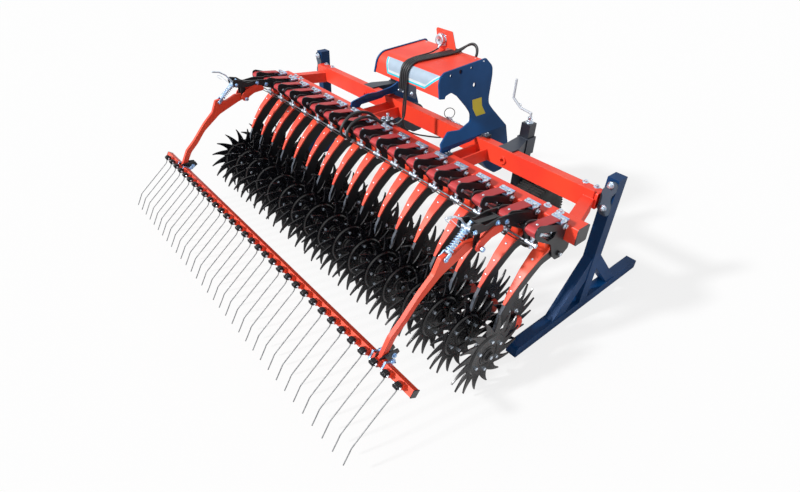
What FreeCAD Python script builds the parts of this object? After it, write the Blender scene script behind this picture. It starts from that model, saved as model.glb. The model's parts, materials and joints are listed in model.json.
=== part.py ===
import FreeCAD, Part
import math
import os

from FreeCAD import Vector

# Rotary hoe, three metres wide, for a three-point tractor linkage.
# Millimetres. X is the machine's right, Y is forward to the tractor, Z is up from the floor.
# Everything is drawn from a datum on the centre line, and moved at the end so that the
# middle of the bounding box on the floor is the origin.

# ---------------------------------------------------------------- driving dimensions
# rows of arms and stars
ARM_COUNT = 17
ARM_PITCH = 172.0
STAR_TRACK = ARM_PITCH / 2
STAR_SHIFT = 17.5
STAR_RADIUS = 250.0
STAR_ROOT_RADIUS = 146.0
STAR_MID_RADIUS = 204.0
STAR_TEETH = 16
STAR_THICKNESS = 8.0
STAR_GROUND_GAP = 5.0
DISC_RADIUS = 131.0
DISC_RISE = 8.0
DISC_SHOULDER = 7.0
GROOVE_IN = 55.0
GROOVE_OUT = 72.0
GROOVE_DEPTH = 5.0
HUB_RADIUS = 45.0
HUB_RISE = 22.0
HUB_END_PLAY = 3.0
AXLE_RADIUS = 15.0
AXLE_END = 6.0
AXLE_Y_REAR = -805.0
AXLE_Y_FRONT = -557.0
CARRIER_HALF = 9.0
RUNNING_FIT = 0.05

# main frame
FRONT_BEAM_HALF = 1361.0
FRONT_BEAM_REAR = 58.0
FRONT_BEAM_DEPTH = 91.0
FRONT_BEAM_TOP = 852.0
FRONT_BEAM_HEIGHT = 104.0
FRONT_BEAM_CORNER = 14.0
REAR_PLATE_THICKNESS = 12.0
REAR_PLATE_RISE = 10.0
REAR_PLATE_INSET_RIGHT = 19.0
REAR_PLATE_INSET_LEFT = 81.0
BOSS_X = 708.0
BOSS_RADIUS = 27.0
BOSS_LENGTH = 10.0
BOSS_HOLE_RADIUS = 13.0
LEFT_SPACER = 59.0
REAR_BEAM_HALF = 1476.0
REAR_BEAM_REAR = -281.0
REAR_BEAM_SIZE = 100.0
REAR_BEAM_TOP = 826.0
REAR_BEAM_CORNER = 10.0
BEAM_WALL = 8.0
END_CAP = 6.0
CROSS_MEMBER_WIDTH = 72.0
CROSS_MEMBER_INSET = 50.0
CROSS_MEMBER_SPLAY = 74.0
CROSS_PLATE_THICKNESS = 12.0

# parking stands
STAND_TUBE = 70.0
STAND_BOLT_GAP = 2.0
STAND_SETBACK = 58.0
CHEEK_THICKNESS = 12.0
CHEEK_LIP = 3.0
STAND_POST_DEPTH = 83.0
STAND_TOP = 946.0
FOOT_REAR = -501.0
FOOT_FRONT = 834.0
FOOT_HEIGHT = 70.0
BRACE_INSET = 5.0

# headstock
PLATE_THICKNESS = 12.0
HEAD_X_FOOT = 461.0
HEAD_X_WAIST = 342.0
HEAD_X_CROWN = 280.0
HEAD_FOOT_Z = 870.0
HEAD_WAIST_Z = 1000.0
HEAD_CROWN_Z = 1272.0
HOOD_INSET = 6.0
HOOD_THICKNESS = 5.0
SOCKET_X = -48.0
SOCKET_Y = 205.0
SOCKET_Z = 1333.0
SOCKET_RADIUS = 33.0
SOCKET_DEPTH = 26.0
HITCH_LOWER_Y = 360.0
HITCH_LOWER_Z = 590.0
HITCH_LOWER_PIN_RADIUS = 14.25
HITCH_LOWER_GAP = 54.0
HITCH_UPPER_Y = 262.0
HITCH_UPPER_Z = 1165.0
HITCH_UPPER_PIN_RADIUS = 12.75
HITCH_UPPER_GAP = 62.0
HITCH_LUG = 10.0
HITCH_PIN_CLEARANCE = 0.1
HEAD_TUBE_RADIUS = 30.0

# gauge wheels
GAUGE_LEG_X = 664.0
GAUGE_LEG_SIZE = 68.0
GAUGE_LEG_REAR = 301.0
GAUGE_LEG_TOP = 957.0
GAUGE_LEG_FOOT = 318.0
GAUGE_SLEEVE_GAP = 1.0
GAUGE_SLEEVE_WALL = 8.0
GAUGE_ARM_ROOT = 105.0
GAUGE_ARM_RAKE = 38.0
CRANK_RADIUS = 8.0
TYRE_RADIUS = 230.0
TYRE_WIDTH = 215.0
TYRE_GAP = 12.0
TYRE_Z = 350.0
TYRE_AXLE_RADIUS = 14.0

# rear harrow
HARROW_X = 1204.0
HARROW_ARM_THICKNESS = 24.0
HARROW_PIVOT_Y = -751.0
HARROW_PIVOT_Z = 800.0
HARROW_PIN_RADIUS = 8.0
SUPPORT_THICKNESS = 8.0
FORK_HALF = 17.0
BOSS_HALF = 15.0
HARROW_TUBE_HALF = 1461.5
HARROW_TUBE_SHIFT = -13.5
HARROW_TUBE_SIZE = 40.0
HARROW_TUBE_Y = -1314.0
HARROW_TUBE_Z = 368.0
HARROW_TUBE_TILT = 34.0
TINE_PITCH = 86.0
TINE_SHIFT = 9.0
TINE_END_MARGIN = 60.0
TINE_WIRE_RADIUS = 4.0
COIL_RADIUS = 20.0
COIL_HALF = 17.0
COIL_CORE_RADIUS = 12.0
COIL_SEAT = 17.7
STRUT_TOP_Y = -808.0
STRUT_TOP_Z = 915.0
STRUT_EYE_Y = -948.0
STRUT_EYE_Z = 803.0
STRUT_PIN_RADIUS = 5.0
STRUT_EYE_PLAY = 2.0
STRUT_ROD_RADIUS = 8.0
STRUT_SPRING_RADIUS = 19.0

# arm stations
BRACKET_HALF = 30.0
BRACKET_THICKNESS = 6.0
BRACKET_BASE = 35.0
CLAMP_HALF = 40.0
CLAMP_THICKNESS = 10.0
CLAMP_RISE = 26.0
ARM_PIVOT_Y = -300.0
ARM_PIVOT_Z = 654.0
ARM_PIN_RADIUS = 14.0
ARM_EYE_RADIUS = 26.0
ARM_TOP_Z = 720.0
CYLINDER_RADIUS = 20.0
CYLINDER_PIN_Y = -513.0
CYLINDER_PIN_Z = 863.0
PIPE_Y = -519.0
PIPE_Z = 792.0
PIPE_RADIUS = 8.0
TEE_HALF = 22.0
TEE_RADIUS = 11.0

# hydraulic hoses
HOSE_RADIUS = 7.5
HOSE_PITCH = 18.0
FEED_RADIUS = 10.0

AXLE_Z = STAR_RADIUS + STAR_GROUND_GAP
# line that the arm and the strip on its back share, as (y, z, radius)
ARM_BACK_LINE = [(-362, 706), (-441, 684, 120), (-523, 613, 150), (-592, 529, 150), (-637, 457)]
FRONT_BEAM_FRONT = FRONT_BEAM_REAR + FRONT_BEAM_DEPTH
FRONT_BEAM_LOW = FRONT_BEAM_TOP - FRONT_BEAM_HEIGHT
REAR_PLATE_TOP = FRONT_BEAM_TOP + REAR_PLATE_RISE
REAR_BEAM_FRONT = REAR_BEAM_REAR + REAR_BEAM_SIZE
REAR_BEAM_LOW = REAR_BEAM_TOP - REAR_BEAM_SIZE
CLAMP_LOW = REAR_BEAM_TOP + CLAMP_RISE
CLAMP_TOP = CLAMP_LOW + CLAMP_THICKNESS
STAND_X_RIGHT = FRONT_BEAM_HALF + STAND_BOLT_GAP + STAND_TUBE / 2
STAND_X_LEFT = -(FRONT_BEAM_HALF + LEFT_SPACER + STAND_BOLT_GAP + STAND_TUBE / 2)
STAND_POST_REAR = FRONT_BEAM_REAR + STAND_SETBACK
ARM_XS = [ARM_PITCH * (k - (ARM_COUNT - 1) / 2) for k in range(ARM_COUNT)]
TINE_REACH = int((HARROW_TUBE_HALF - TINE_END_MARGIN) / TINE_PITCH)
TINE_XS = [TINE_SHIFT + TINE_PITCH * k for k in range(-TINE_REACH, TINE_REACH + 1)]
COIL_OUT = HARROW_TUBE_SIZE / 2 + COIL_SEAT + COIL_RADIUS
COIL_Y = HARROW_TUBE_Y - COIL_OUT * math.cos(math.radians(HARROW_TUBE_TILT))
COIL_Z = HARROW_TUBE_Z + COIL_OUT * math.sin(math.radians(HARROW_TUBE_TILT))


# ---------------------------------------------------------------- drawing helpers
def rounded_wire(points, place):
    """Closed wire through corner points (u, v, radius); place turns (u, v) into a Vector."""
    corners = []
    count = len(points)
    for i, point in enumerate(points):
        u, v = point[0], point[1]
        radius = point[2] if len(point) > 2 else 0.0
        before, after = points[i - 1], points[(i + 1) % count]
        if radius <= 0:
            corners.append([(u, v)])
            continue
        ax, ay = before[0] - u, before[1] - v
        bx, by = after[0] - u, after[1] - v
        la, lb = math.hypot(ax, ay), math.hypot(bx, by)
        cosine = (ax * bx + ay * by) / (la * lb)
        half = math.acos(max(-1.0, min(1.0, cosine))) / 2
        reach = min(radius / math.tan(half), 0.49 * la, 0.49 * lb)
        actual = reach * math.tan(half)
        start = (u + ax / la * reach, v + ay / la * reach)
        end = (u + bx / lb * reach, v + by / lb * reach)
        mx, my = ax / la + bx / lb, ay / la + by / lb
        lm = math.hypot(mx, my)
        depth = actual / math.sin(half) - actual
        corners.append([start, (u + mx / lm * depth, v + my / lm * depth), end])
    edges = []
    for i, corner in enumerate(corners):
        if len(corner) == 3:
            edges.append(Part.Arc(*[place(*p) for p in corner]).toShape())
        first, second = corner[-1], corners[(i + 1) % count][0]
        if math.hypot(first[0] - second[0], first[1] - second[1]) > 1e-6:
            edges.append(Part.LineSegment(place(*first), place(*second)).toShape())
    return Part.Wire(Part.__sortEdges__(edges))


def plate_x(points, x0, x1):
    """Plate cut to an outline of (y, z, radius) corners, from x0 to x1."""
    wire = rounded_wire(points, lambda y, z: Vector(x0, y, z))
    return Part.Face(wire).extrude(Vector(x1 - x0, 0, 0))


def plate_y(points, y0, y1):
    """Plate cut to an outline of (x, z, radius) corners, from y0 to y1."""
    wire = rounded_wire(points, lambda x, z: Vector(x, y0, z))
    return Part.Face(wire).extrude(Vector(0, y1 - y0, 0))


def plate_z(points, z0, z1):
    """Plate cut to an outline of (x, y, radius) corners, from z0 to z1."""
    wire = rounded_wire(points, lambda x, y: Vector(x, y, z0))
    return Part.Face(wire).extrude(Vector(0, 0, z1 - z0))


def block(x0, x1, y0, y1, z0, z1):
    return Part.makeBox(x1 - x0, y1 - y0, z1 - z0, Vector(x0, y0, z0))


def rod_x(x0, x1, y, z, radius):
    return Part.makeCylinder(radius, x1 - x0, Vector(x0, y, z), Vector(1, 0, 0))


def rod_y(y0, y1, x, z, radius):
    return Part.makeCylinder(radius, y1 - y0, Vector(x, y0, z), Vector(0, 1, 0))


def rod_z(z0, z1, x, y, radius):
    return Part.makeCylinder(radius, z1 - z0, Vector(x, y, z0), Vector(0, 0, 1))


def rod_between(start, end, radius):
    return Part.makeCylinder(radius, (end - start).Length, start, end - start)


def mirrored(shape):
    return shape.mirror(Vector(0, 0, 0), Vector(1, 0, 0))


def both_sides(shape):
    return [shape, mirrored(shape)]


def joined(shapes):
    """One solid out of pieces that are welded together."""
    whole = shapes[0]
    if len(shapes) > 1:
        whole = whole.multiFuse(shapes[1:])
    return whole.removeSplitter()


def moved_x(shape, x):
    copy = shape.copy()
    copy.translate(Vector(x, 0, 0))
    return copy


# ---------------------------------------------------------------- frame
def box_outline(y0, y1, z0, z1, radius):
    return [(y0, z0, radius), (y1, z0, radius), (y1, z1, radius), (y0, z1, radius)]


def front_beam():
    """Box tube with a tall plate along its rear face and two bored bosses."""
    y0 = FRONT_BEAM_REAR + REAR_PLATE_THICKNESS
    y1 = FRONT_BEAM_FRONT
    z0, z1 = FRONT_BEAM_LOW, FRONT_BEAM_TOP
    half = FRONT_BEAM_HALF
    w = BEAM_WALL
    tube = plate_x(box_outline(y0, y1, z0, z1, FRONT_BEAM_CORNER), -half, half)
    bore = block(-half - 1, half + 1, y0 + w, y1 - w, z0 + w, z1 - w)
    back = block(-half + REAR_PLATE_INSET_LEFT, half - REAR_PLATE_INSET_RIGHT,
                 FRONT_BEAM_REAR, y0, z0 - REAR_PLATE_RISE / 2, REAR_PLATE_TOP)
    middle = (z0 + z1) / 2 - 7
    bosses = []
    for side in (-1, 1):
        boss = rod_y(FRONT_BEAM_REAR - BOSS_LENGTH, y0, side * BOSS_X, middle, BOSS_RADIUS)
        bosses.append(boss)
    beam = joined([tube.cut(bore), back] + bosses)
    for side in (-1, 1):
        hole = rod_y(FRONT_BEAM_REAR - BOSS_LENGTH - 1, y0 + w + 1, side * BOSS_X, middle,
                     BOSS_HOLE_RADIUS)
        beam = beam.cut(hole)
    return beam


def beam_spacer():
    """Short stub that carries the left stand further out."""
    return plate_x(box_outline(FRONT_BEAM_REAR + REAR_PLATE_THICKNESS, FRONT_BEAM_FRONT,
                               FRONT_BEAM_LOW, FRONT_BEAM_TOP, FRONT_BEAM_CORNER),
                   -FRONT_BEAM_HALF - LEFT_SPACER, -FRONT_BEAM_HALF)


def rear_beam():
    y0, y1 = REAR_BEAM_REAR, REAR_BEAM_FRONT
    z0, z1 = REAR_BEAM_LOW, REAR_BEAM_TOP
    w = BEAM_WALL
    half = REAR_BEAM_HALF
    tube = plate_x(box_outline(y0, y1, z0, z1, REAR_BEAM_CORNER), -half, half)
    return tube.cut(block(-half - 1, half + 1, y0 + w, y1 - w, z0 + w, z1 - w))


def beam_caps():
    cap = plate_x(box_outline(REAR_BEAM_REAR, REAR_BEAM_FRONT, REAR_BEAM_LOW, REAR_BEAM_TOP,
                              REAR_BEAM_CORNER), REAR_BEAM_HALF, REAR_BEAM_HALF + END_CAP)
    return both_sides(cap)


def cross_members():
    """Splayed end tubes and pairs of upright plates between the two beams."""
    y0, y1 = REAR_BEAM_FRONT, FRONT_BEAM_REAR
    low, high = REAR_BEAM_LOW + REAR_BEAM_CORNER, REAR_BEAM_TOP - REAR_BEAM_CORNER
    outer = REAR_BEAM_HALF - CROSS_MEMBER_INSET
    end = plate_z([(outer - CROSS_MEMBER_WIDTH, y0), (outer, y0),
                   (outer - CROSS_MEMBER_SPLAY, y1),
                   (outer - CROSS_MEMBER_SPLAY - CROSS_MEMBER_WIDTH, y1)], low, high)
    plates = []
    for x in (-HEAD_X_FOOT + 24, -HEAD_X_FOOT + 140, HEAD_X_FOOT + 12, HEAD_X_FOOT + 102):
        plates.append(block(x, x + CROSS_PLATE_THICKNESS, y0, y1, low, high))
    return both_sides(end) + plates


# ---------------------------------------------------------------- parking stands
def parking_stand(x):
    """Upright post on a long foot, stayed by a bar behind and another in front."""
    x0, x1 = x - STAND_TUBE / 2, x + STAND_TUBE / 2
    y0 = STAND_POST_REAR
    y1 = y0 + STAND_POST_DEPTH
    low = FOOT_HEIGHT
    foot = plate_x([(FOOT_REAR, 0), (FOOT_FRONT, 0), (FOOT_FRONT, low - 12, 4),
                    (FOOT_FRONT - 14, low, 4), (FOOT_REAR + 14, low, 4), (FOOT_REAR, low - 12, 4)],
                   x0, x1)
    post = block(x0, x1, y0, y1, low, STAND_TOP)
    rear = plate_x([(y0, low + 360), (y0, low + 190), (y0 - 150, low), (y0 - 275, low)],
                   x0 + BRACE_INSET, x1 - BRACE_INSET)
    front = plate_x([(y1, low + 350), (y1, low + 247), (y1 + 238, low), (y1 + 335, low)],
                    x0 + BRACE_INSET, x1 - BRACE_INSET)
    return joined([foot, post, rear, front])


def stand_cheek(side, start, x):
    """Curved cheek welded to the beam end, with the post bolted in front of it."""
    out = abs(x) + STAND_TUBE / 2 + CHEEK_LIP
    low, high = FRONT_BEAM_LOW, FRONT_BEAM_TOP
    points = [(start, low + 4), (start, high + 20, 30), (start + 34, high + 82, 20),
              (out, high + 82, 36), (out, high + 28, 20), (out - 20, high - 16, 60),
              (out, high - 62, 20), (out, low - 26, 36), (start + 26, low - 26, 20)]
    cheek = plate_y(points, STAND_POST_REAR - CHEEK_THICKNESS, STAND_POST_REAR)
    return cheek if side > 0 else mirrored(cheek)


# ---------------------------------------------------------------- headstock
def head_x(z):
    """Inner face of the headstock plate: upright at the foot, then leaning in."""
    if z <= HEAD_FOOT_Z:
        return HEAD_X_FOOT
    if z <= HEAD_WAIST_Z:
        share = (z - HEAD_FOOT_Z) / (HEAD_WAIST_Z - HEAD_FOOT_Z)
        return HEAD_X_FOOT + share * (HEAD_X_WAIST - HEAD_X_FOOT)
    share = (z - HEAD_WAIST_Z) / (HEAD_CROWN_Z - HEAD_WAIST_Z)
    return HEAD_X_WAIST + share * (HEAD_X_CROWN - HEAD_X_WAIST)


def between_plates(y0, y1):
    """The room between the two leaning plates."""
    levels = [HITCH_LOWER_Z - 200, HEAD_FOOT_Z, HEAD_WAIST_Z, HEAD_CROWN_Z + 100]
    right = [(head_x(z), z) for z in levels]
    left = [(-x, z) for x, z in reversed(right)]
    return plate_y(right + left, y0, y1)


def lower_outline(y_beam, z_top):
    """Outline of a lower-link ear in front of the front beam."""
    y, z = HITCH_LOWER_Y, HITCH_LOWER_Z
    return [(y + 44, z + 140, 120), (y + 58, z + 10, 60), (y + 45, z - 62, 50),
            (y - 60, z - 66, 60), (y - 160, z + 10, 80), (y_beam, z + 78), (y_beam, z_top)]


def headstock_plate():
    """One tall plate, cut to its side outline out of a bent sheet."""
    levels = [HITCH_LOWER_Z - 200, HEAD_FOOT_Z, HEAD_WAIST_Z, HEAD_CROWN_Z + 100]
    inner = [(head_x(z), z) for z in levels]
    outer = [(x + PLATE_THICKNESS, z) for x, z in reversed(inner)]
    sheet = plate_y(inner + outer, -400, 700)
    rear = REAR_BEAM_FRONT
    foot = REAR_BEAM_TOP
    crown = [(-116, 1106), (-158, 1112), (-152, HEAD_CROWN_Z - 20, 115), (278, HEAD_CROWN_Z + 8, 14),
             (336, 1224, 40), (330, 1170, 120), (276, HEAD_WAIST_Z + 4, 110), (354, HEAD_FOOT_Z, 60)]
    seat = [(FRONT_BEAM_REAR, REAR_PLATE_TOP), (FRONT_BEAM_REAR - 40, foot + 22, 30),
            (rear + 8, foot + 14, 10), (rear, foot), (rear - 74, foot), (rear - 80, foot + 16, 10)]
    throat = [(-254, 884, 20), (-150, 930, 60), (-50, 920, 60), (60, 942, 40), (98, 985, 28),
              (70, 1022, 30), (0, 1098, 40), (-56, 1134, 40), (-108, 1122, 30)]
    outline = crown + lower_outline(FRONT_BEAM_FRONT, REAR_PLATE_TOP) + seat + throat
    plate = plate_x(outline, 200, 600).common(sheet)
    for y, z, radius in ((38, 1238, 14), (-49, 1229, 9), (137, 1245, 9), (155, 1140, 14)):
        plate = plate.cut(rod_x(200, 600, y, z, radius))
    radius = HITCH_LOWER_PIN_RADIUS + HITCH_PIN_CLEARANCE
    return plate.cut(rod_x(200, 600, HITCH_LOWER_Y, HITCH_LOWER_Z, radius))


def headstock_hood():
    """Curved sheet over the headstock, between the two side plates."""
    i, t = HOOD_INSET, HOOD_THICKNESS
    outer = [(-158 + i, 1114), (-152 + i, HEAD_CROWN_Z - 20 - i, 110),
             (258, HEAD_CROWN_Z + 8 - i)]
    inner = [(258, HEAD_CROWN_Z + 8 - i - t), (-152 + i + t, HEAD_CROWN_Z - 20 - i - t, 105),
             (-158 + i + t, 1114)]
    sheet = plate_x(outer + inner, -HEAD_X_FOOT, HEAD_X_FOOT)
    sheet = sheet.common(between_plates(-400, 700))
    holder = plate_y([(-115, 1399, 12), (37, 1398, 12), (84, 1289, 8), (4, 1292, 10),
                      (-18, 1272), (-62, 1272), (-98, 1335, 14)], SOCKET_Y, SOCKET_Y + 6)
    socket = rod_y(SOCKET_Y - SOCKET_DEPTH, SOCKET_Y, SOCKET_X, SOCKET_Z, SOCKET_RADIUS)
    foot = block(-62, -18, SOCKET_Y, SOCKET_Y + 6, 1262, 1272)
    return joined([sheet, holder, foot, socket])


def lower_ear():
    """Inner ear of a lower link with the strip that closes the pocket below the ball."""
    x1 = HEAD_X_FOOT
    x0 = x1 - HITCH_LOWER_GAP
    y, z = HITCH_LOWER_Y, HITCH_LOWER_Z
    beam = FRONT_BEAM_FRONT
    ear = plate_x(lower_outline(beam, FRONT_BEAM_TOP - 20), x0 - PLATE_THICKNESS, x0)
    radius = HITCH_LOWER_PIN_RADIUS + HITCH_PIN_CLEARANCE
    ear = ear.cut(rod_x(0, HEAD_X_FOOT, y, z, radius))
    low = [(beam, z + 78), (y - 160, z + 10, 80), (y - 60, z - 66, 60), (y + 20, z - 63)]
    high = [(y + 20, z - 53), (y - 57, z - 55, 50), (y - 153, z + 17, 70), (beam, z + 92)]
    strip = plate_x(low + high, x0, x1)
    return joined([ear, strip])


def hose_clamp():
    """Hanger under the hood's rear edge that takes three of the hoses."""
    rear = -158 + HOOD_INSET
    hanger = block(-48, 11, rear, rear + HOOD_THICKNESS, 1062, 1114)
    clamp = block(-48, 11, rear - 20, rear, 1062, 1080)
    return joined([hanger, clamp])


def top_link_lugs():
    """Two lugs on a cross tube under the hood."""
    y, z = HITCH_UPPER_Y, HITCH_UPPER_Z
    tube = rod_x(-HEAD_X_FOOT, HEAD_X_FOOT, y - 62, z + 15, HEAD_TUBE_RADIUS)
    tube = tube.common(between_plates(-400, 700))
    lugs = []
    x0 = HITCH_UPPER_GAP / 2
    outline = [(y - 98, z - 20, 25), (y - 98, z + 48, 25), (y - 40, z + 58, 30),
               (y + 30, z + 24, 26), (y + 30, z - 26, 26), (y - 30, z - 36, 30)]
    hole = rod_x(-100, 100, y, z, HITCH_UPPER_PIN_RADIUS + HITCH_PIN_CLEARANCE)
    for x in (-x0 - HITCH_LUG, x0):
        lugs.append(plate_x(outline, x, x + HITCH_LUG).cut(hole))
    return joined([tube] + lugs)


# ---------------------------------------------------------------- arms
def tapered(shape, x, half_top, half_low, z_low):
    """Narrow a piece from its top down to z_low, as seen from behind, and keep it so below."""
    top, low = ARM_TOP_Z + 180, AXLE_Z - 120
    half_high = half_top + (half_top - half_low) * 180 / (ARM_TOP_Z - z_low)
    wedge = plate_y([(x - half_high, top), (x + half_high, top), (x + half_low, z_low),
                     (x + half_low, low), (x - half_low, low), (x - half_low, z_low)], -1000, 0)
    return shape.common(wedge)


def arm_body(x):
    """Curved arm from its pivot down to the star carrier."""
    py, pz = ARM_PIVOT_Y, ARM_PIVOT_Z
    outline = ARM_BACK_LINE + [(-668, 400, 60), (-700, 262, 20), (-655, 262, 20), (-590, 380, 60),
                               (-546, 483, 60), (-463, 562, 120), (-400, 615, 80),
                               (py - 10, pz - 26), (py + 10, pz + 24)]
    body = tapered(plate_x(outline, x - BRACKET_HALF, x + BRACKET_HALF), x, 25, 9, 440)
    eye = rod_x(x - BRACKET_HALF, x + BRACKET_HALF, py, pz, ARM_EYE_RADIUS)
    return body, eye


def arm(x):
    body, eye = arm_body(x)
    hole = rod_x(x - 2 * BRACKET_HALF, x + 2 * BRACKET_HALF, ARM_PIVOT_Y, ARM_PIVOT_Z,
                 ARM_PIN_RADIUS + RUNNING_FIT)
    return joined([body, eye, star_carrier(x)]).cut(hole)


def arm_back(x):
    """Wide strip welded along the arm's back, with the head that the cylinder pushes."""
    outer = [(-645, 459), (-600, 536, 150), (-530, 622, 150), (-448, 694, 120),
             (-381, ARM_TOP_Z + 8)]
    strip = tapered(plate_x(ARM_BACK_LINE + outer, x - 45, x + 45), x, 35, 7, 450)
    for side in (-1, 1):
        edge = x + side * (BRACKET_HALF - 1)
        strip = strip.cut(block(min(edge, edge + side * 20), max(edge, edge + side * 20),
                                -389, -350, 680, 760))
    head = plate_x([(-412, 711), (-420, 756, 6), (-396, 764, 6), (-368, 742, 8), (-371, 709)],
                   x - 20, x + 20)
    return joined([strip, head])


def arm_bracket(x):
    """Two side plates and a block on the rear beam that carry the arm's pivot."""
    face = REAR_BEAM_REAR
    py, pz = ARM_PIVOT_Y, ARM_PIVOT_Z
    outline = [(-556, 872, 14), (-549, 908, 14), (-522, 913, 12), (-432, 882, 90),
               (-351, CLAMP_LOW), (face, CLAMP_LOW), (face, REAR_BEAM_LOW),
               (face + 70, REAR_BEAM_LOW), (py + 94, pz - 8, 16), (py + 36, pz - 44, 24),
               (py - 14, pz - 38, 24), (py - 52, pz + 2, 30), (-377, 712, 20),
               (-393, 750, 30), (-509, 817, 50), (-545, 850, 14)]
    window = [(-506, 866, 8), (-362, 818, 10), (-384, 789, 12), (-428, 783, 14),
              (-497, 844, 10)]
    x0 = x + BRACKET_HALF
    plate = plate_x(outline, x0, x0 + BRACKET_THICKNESS)
    plate = plate.cut(plate_x(window, x0 - 1, x0 + BRACKET_THICKNESS + 1))
    other = moved_x(plate, -2 * BRACKET_HALF - BRACKET_THICKNESS)
    base = block(x - BRACKET_HALF, x + BRACKET_HALF, face - BRACKET_BASE, face,
                 REAR_BEAM_LOW + 14, CLAMP_LOW)
    bolt = rod_x(x - BRACKET_HALF - 16, x + BRACKET_HALF + 16, py, pz, ARM_PIN_RADIUS)
    return joined([plate, other, base, bolt])


def arm_cover(x):
    """Folded cover over the arm's cylinder, rolled down at the rear."""
    foot = CLAMP_TOP
    outline = [(-340, foot), (-346, foot + 15, 8), (-442, 890, 80), (-536, 900, 20),
               (-562, 880, 14), (-521, 831), (-517, 835), (-555, 880, 9), (-534, 895, 15),
               (-442, 885, 75), (-350, foot + 9, 4), (-345, foot)]
    return plate_x(outline, x - BRACKET_HALF + 1, x + BRACKET_HALF - 1)


def clamp_plate(x):
    return block(x - CLAMP_HALF, x + CLAMP_HALF, REAR_BEAM_REAR - 2 * BRACKET_BASE,
                 REAR_BEAM_REAR, CLAMP_LOW, CLAMP_TOP)


def cylinder(x):
    """Ram between the side plates with its union on the cross pipe."""
    start = Vector(x, -332, 753)
    eye = Vector(x, CYLINDER_PIN_Y, CYLINDER_PIN_Z)
    along = (eye - start).normalize()
    barrel = rod_between(start, eye + along * -24, CYLINDER_RADIUS)
    stem = rod_between(eye + along * -30, eye, 10)
    knuckle = rod_x(x - BRACKET_HALF, x + BRACKET_HALF, CYLINDER_PIN_Y, CYLINDER_PIN_Z, 16)
    port = Vector(x, PIPE_Y + 7, PIPE_Z + 30)
    union = rod_between(port, Vector(x, -476, 836), 6)
    riser = rod_between(Vector(x, PIPE_Y, PIPE_Z - 14), port, 9)
    tee = rod_x(x - TEE_HALF, x + TEE_HALF, PIPE_Y, PIPE_Z, TEE_RADIUS)
    return joined([barrel, stem, knuckle, union, Part.makeSphere(9, port), riser, tee])


def star_carrier(x):
    """Bar between the two stars with an axle to each side and a lug ahead of it."""
    half = CARRIER_HALF
    middle = (AXLE_Y_REAR + AXLE_Y_FRONT) / 2
    points = [(AXLE_Y_REAR - 30, AXLE_Z, 28), (AXLE_Y_REAR, AXLE_Z + 30, 28),
              (middle, AXLE_Z + 44, 60), (AXLE_Y_FRONT, AXLE_Z + 30, 28),
              (AXLE_Y_FRONT + 100, AXLE_Z + 12, 20), (AXLE_Y_FRONT + 125, AXLE_Z - 48, 20),
              (AXLE_Y_FRONT + 96, AXLE_Z - 96, 20), (AXLE_Y_FRONT + 62, AXLE_Z - 60, 30),
              (AXLE_Y_FRONT, AXLE_Z - 30, 28), (middle, AXLE_Z - 26, 60),
              (AXLE_Y_REAR, AXLE_Z - 30, 28)]
    beam = plate_x(points, x - half, x + half)
    rear_reach = star_offset(1) + HUB_RISE + AXLE_END
    front_reach = -star_offset(-1) + HUB_RISE + AXLE_END
    rear = rod_x(x, x + rear_reach, AXLE_Y_REAR, AXLE_Z, AXLE_RADIUS)
    front = rod_x(x - front_reach, x, AXLE_Y_FRONT, AXLE_Z, AXLE_RADIUS)
    return joined([beam, rear, front])


# ---------------------------------------------------------------- stars
def star_offset(side):
    """Sideways place of a star from its arm: the rear one to the right, the front to the left."""
    return STAR_SHIFT + side * STAR_TRACK / 2


def polar(radius, degrees):
    angle = math.radians(degrees)
    return Vector(0, radius * math.cos(angle), radius * math.sin(angle))


def tooth_fan(reach):
    """Outline of a star: slender teeth, all raked the same way round."""
    step = 360.0 / STAR_TEETH
    width = step / 22.5
    mid, tip = STAR_MID_RADIUS, STAR_RADIUS
    edges = []
    for i in range(STAR_TEETH):
        a = i * step
        root_in = polar(STAR_ROOT_RADIUS, a - 10.0 * width)
        root_out = polar(STAR_ROOT_RADIUS, a + 10.0 * width)
        tip_in, tip_out = polar(tip, a + 10.4), polar(tip, a + 11.8)
        next_in = polar(STAR_ROOT_RADIUS, a + step - 10.0 * width)
        edges.append(Part.Arc(root_in, polar(mid, a + 2.6), tip_in).toShape())
        edges.append(Part.LineSegment(tip_in, tip_out).toShape())
        edges.append(Part.Arc(tip_out, polar(mid, a + 9.2), root_out).toShape())
        edges.append(Part.LineSegment(root_out, next_in).toShape())
    face = Part.Face(Part.Wire(Part.__sortEdges__(edges)))
    face.translate(Vector(-reach, 0, 0))
    return face.extrude(Vector(2 * reach, 0, 0))


def star(side):
    """Star wheel at its own centre, with a raised disc, a groove in it and a long hub."""
    half = STAR_THICKNESS / 2
    inner_end = -(abs(star_offset(side)) - CARRIER_HALF - HUB_END_PLAY)
    disc = half + DISC_RISE
    tip = STAR_RADIUS + 1
    bore = AXLE_RADIUS + RUNNING_FIT
    profile = [(inner_end, bore), (HUB_RISE, bore), (HUB_RISE, HUB_RADIUS - 8),
               (HUB_RISE - 8, HUB_RADIUS), (disc, HUB_RADIUS), (disc, GROOVE_IN),
               (disc - GROOVE_DEPTH, GROOVE_IN + 3), (disc - GROOVE_DEPTH, GROOVE_OUT - 3),
               (disc, GROOVE_OUT), (disc, DISC_RADIUS - DISC_SHOULDER), (half, DISC_RADIUS),
               (half, tip), (-half, tip), (-half, HUB_RADIUS), (inner_end, HUB_RADIUS)]
    corners = [Vector(side * x, r, 0) for x, r in profile]
    wire = Part.makePolygon(corners + corners[:1])
    body = Part.Face(wire).revolve(Vector(0, 0, 0), Vector(1, 0, 0), 360)
    return body.common(tooth_fan(abs(inner_end) + HUB_RISE + 10))


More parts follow.
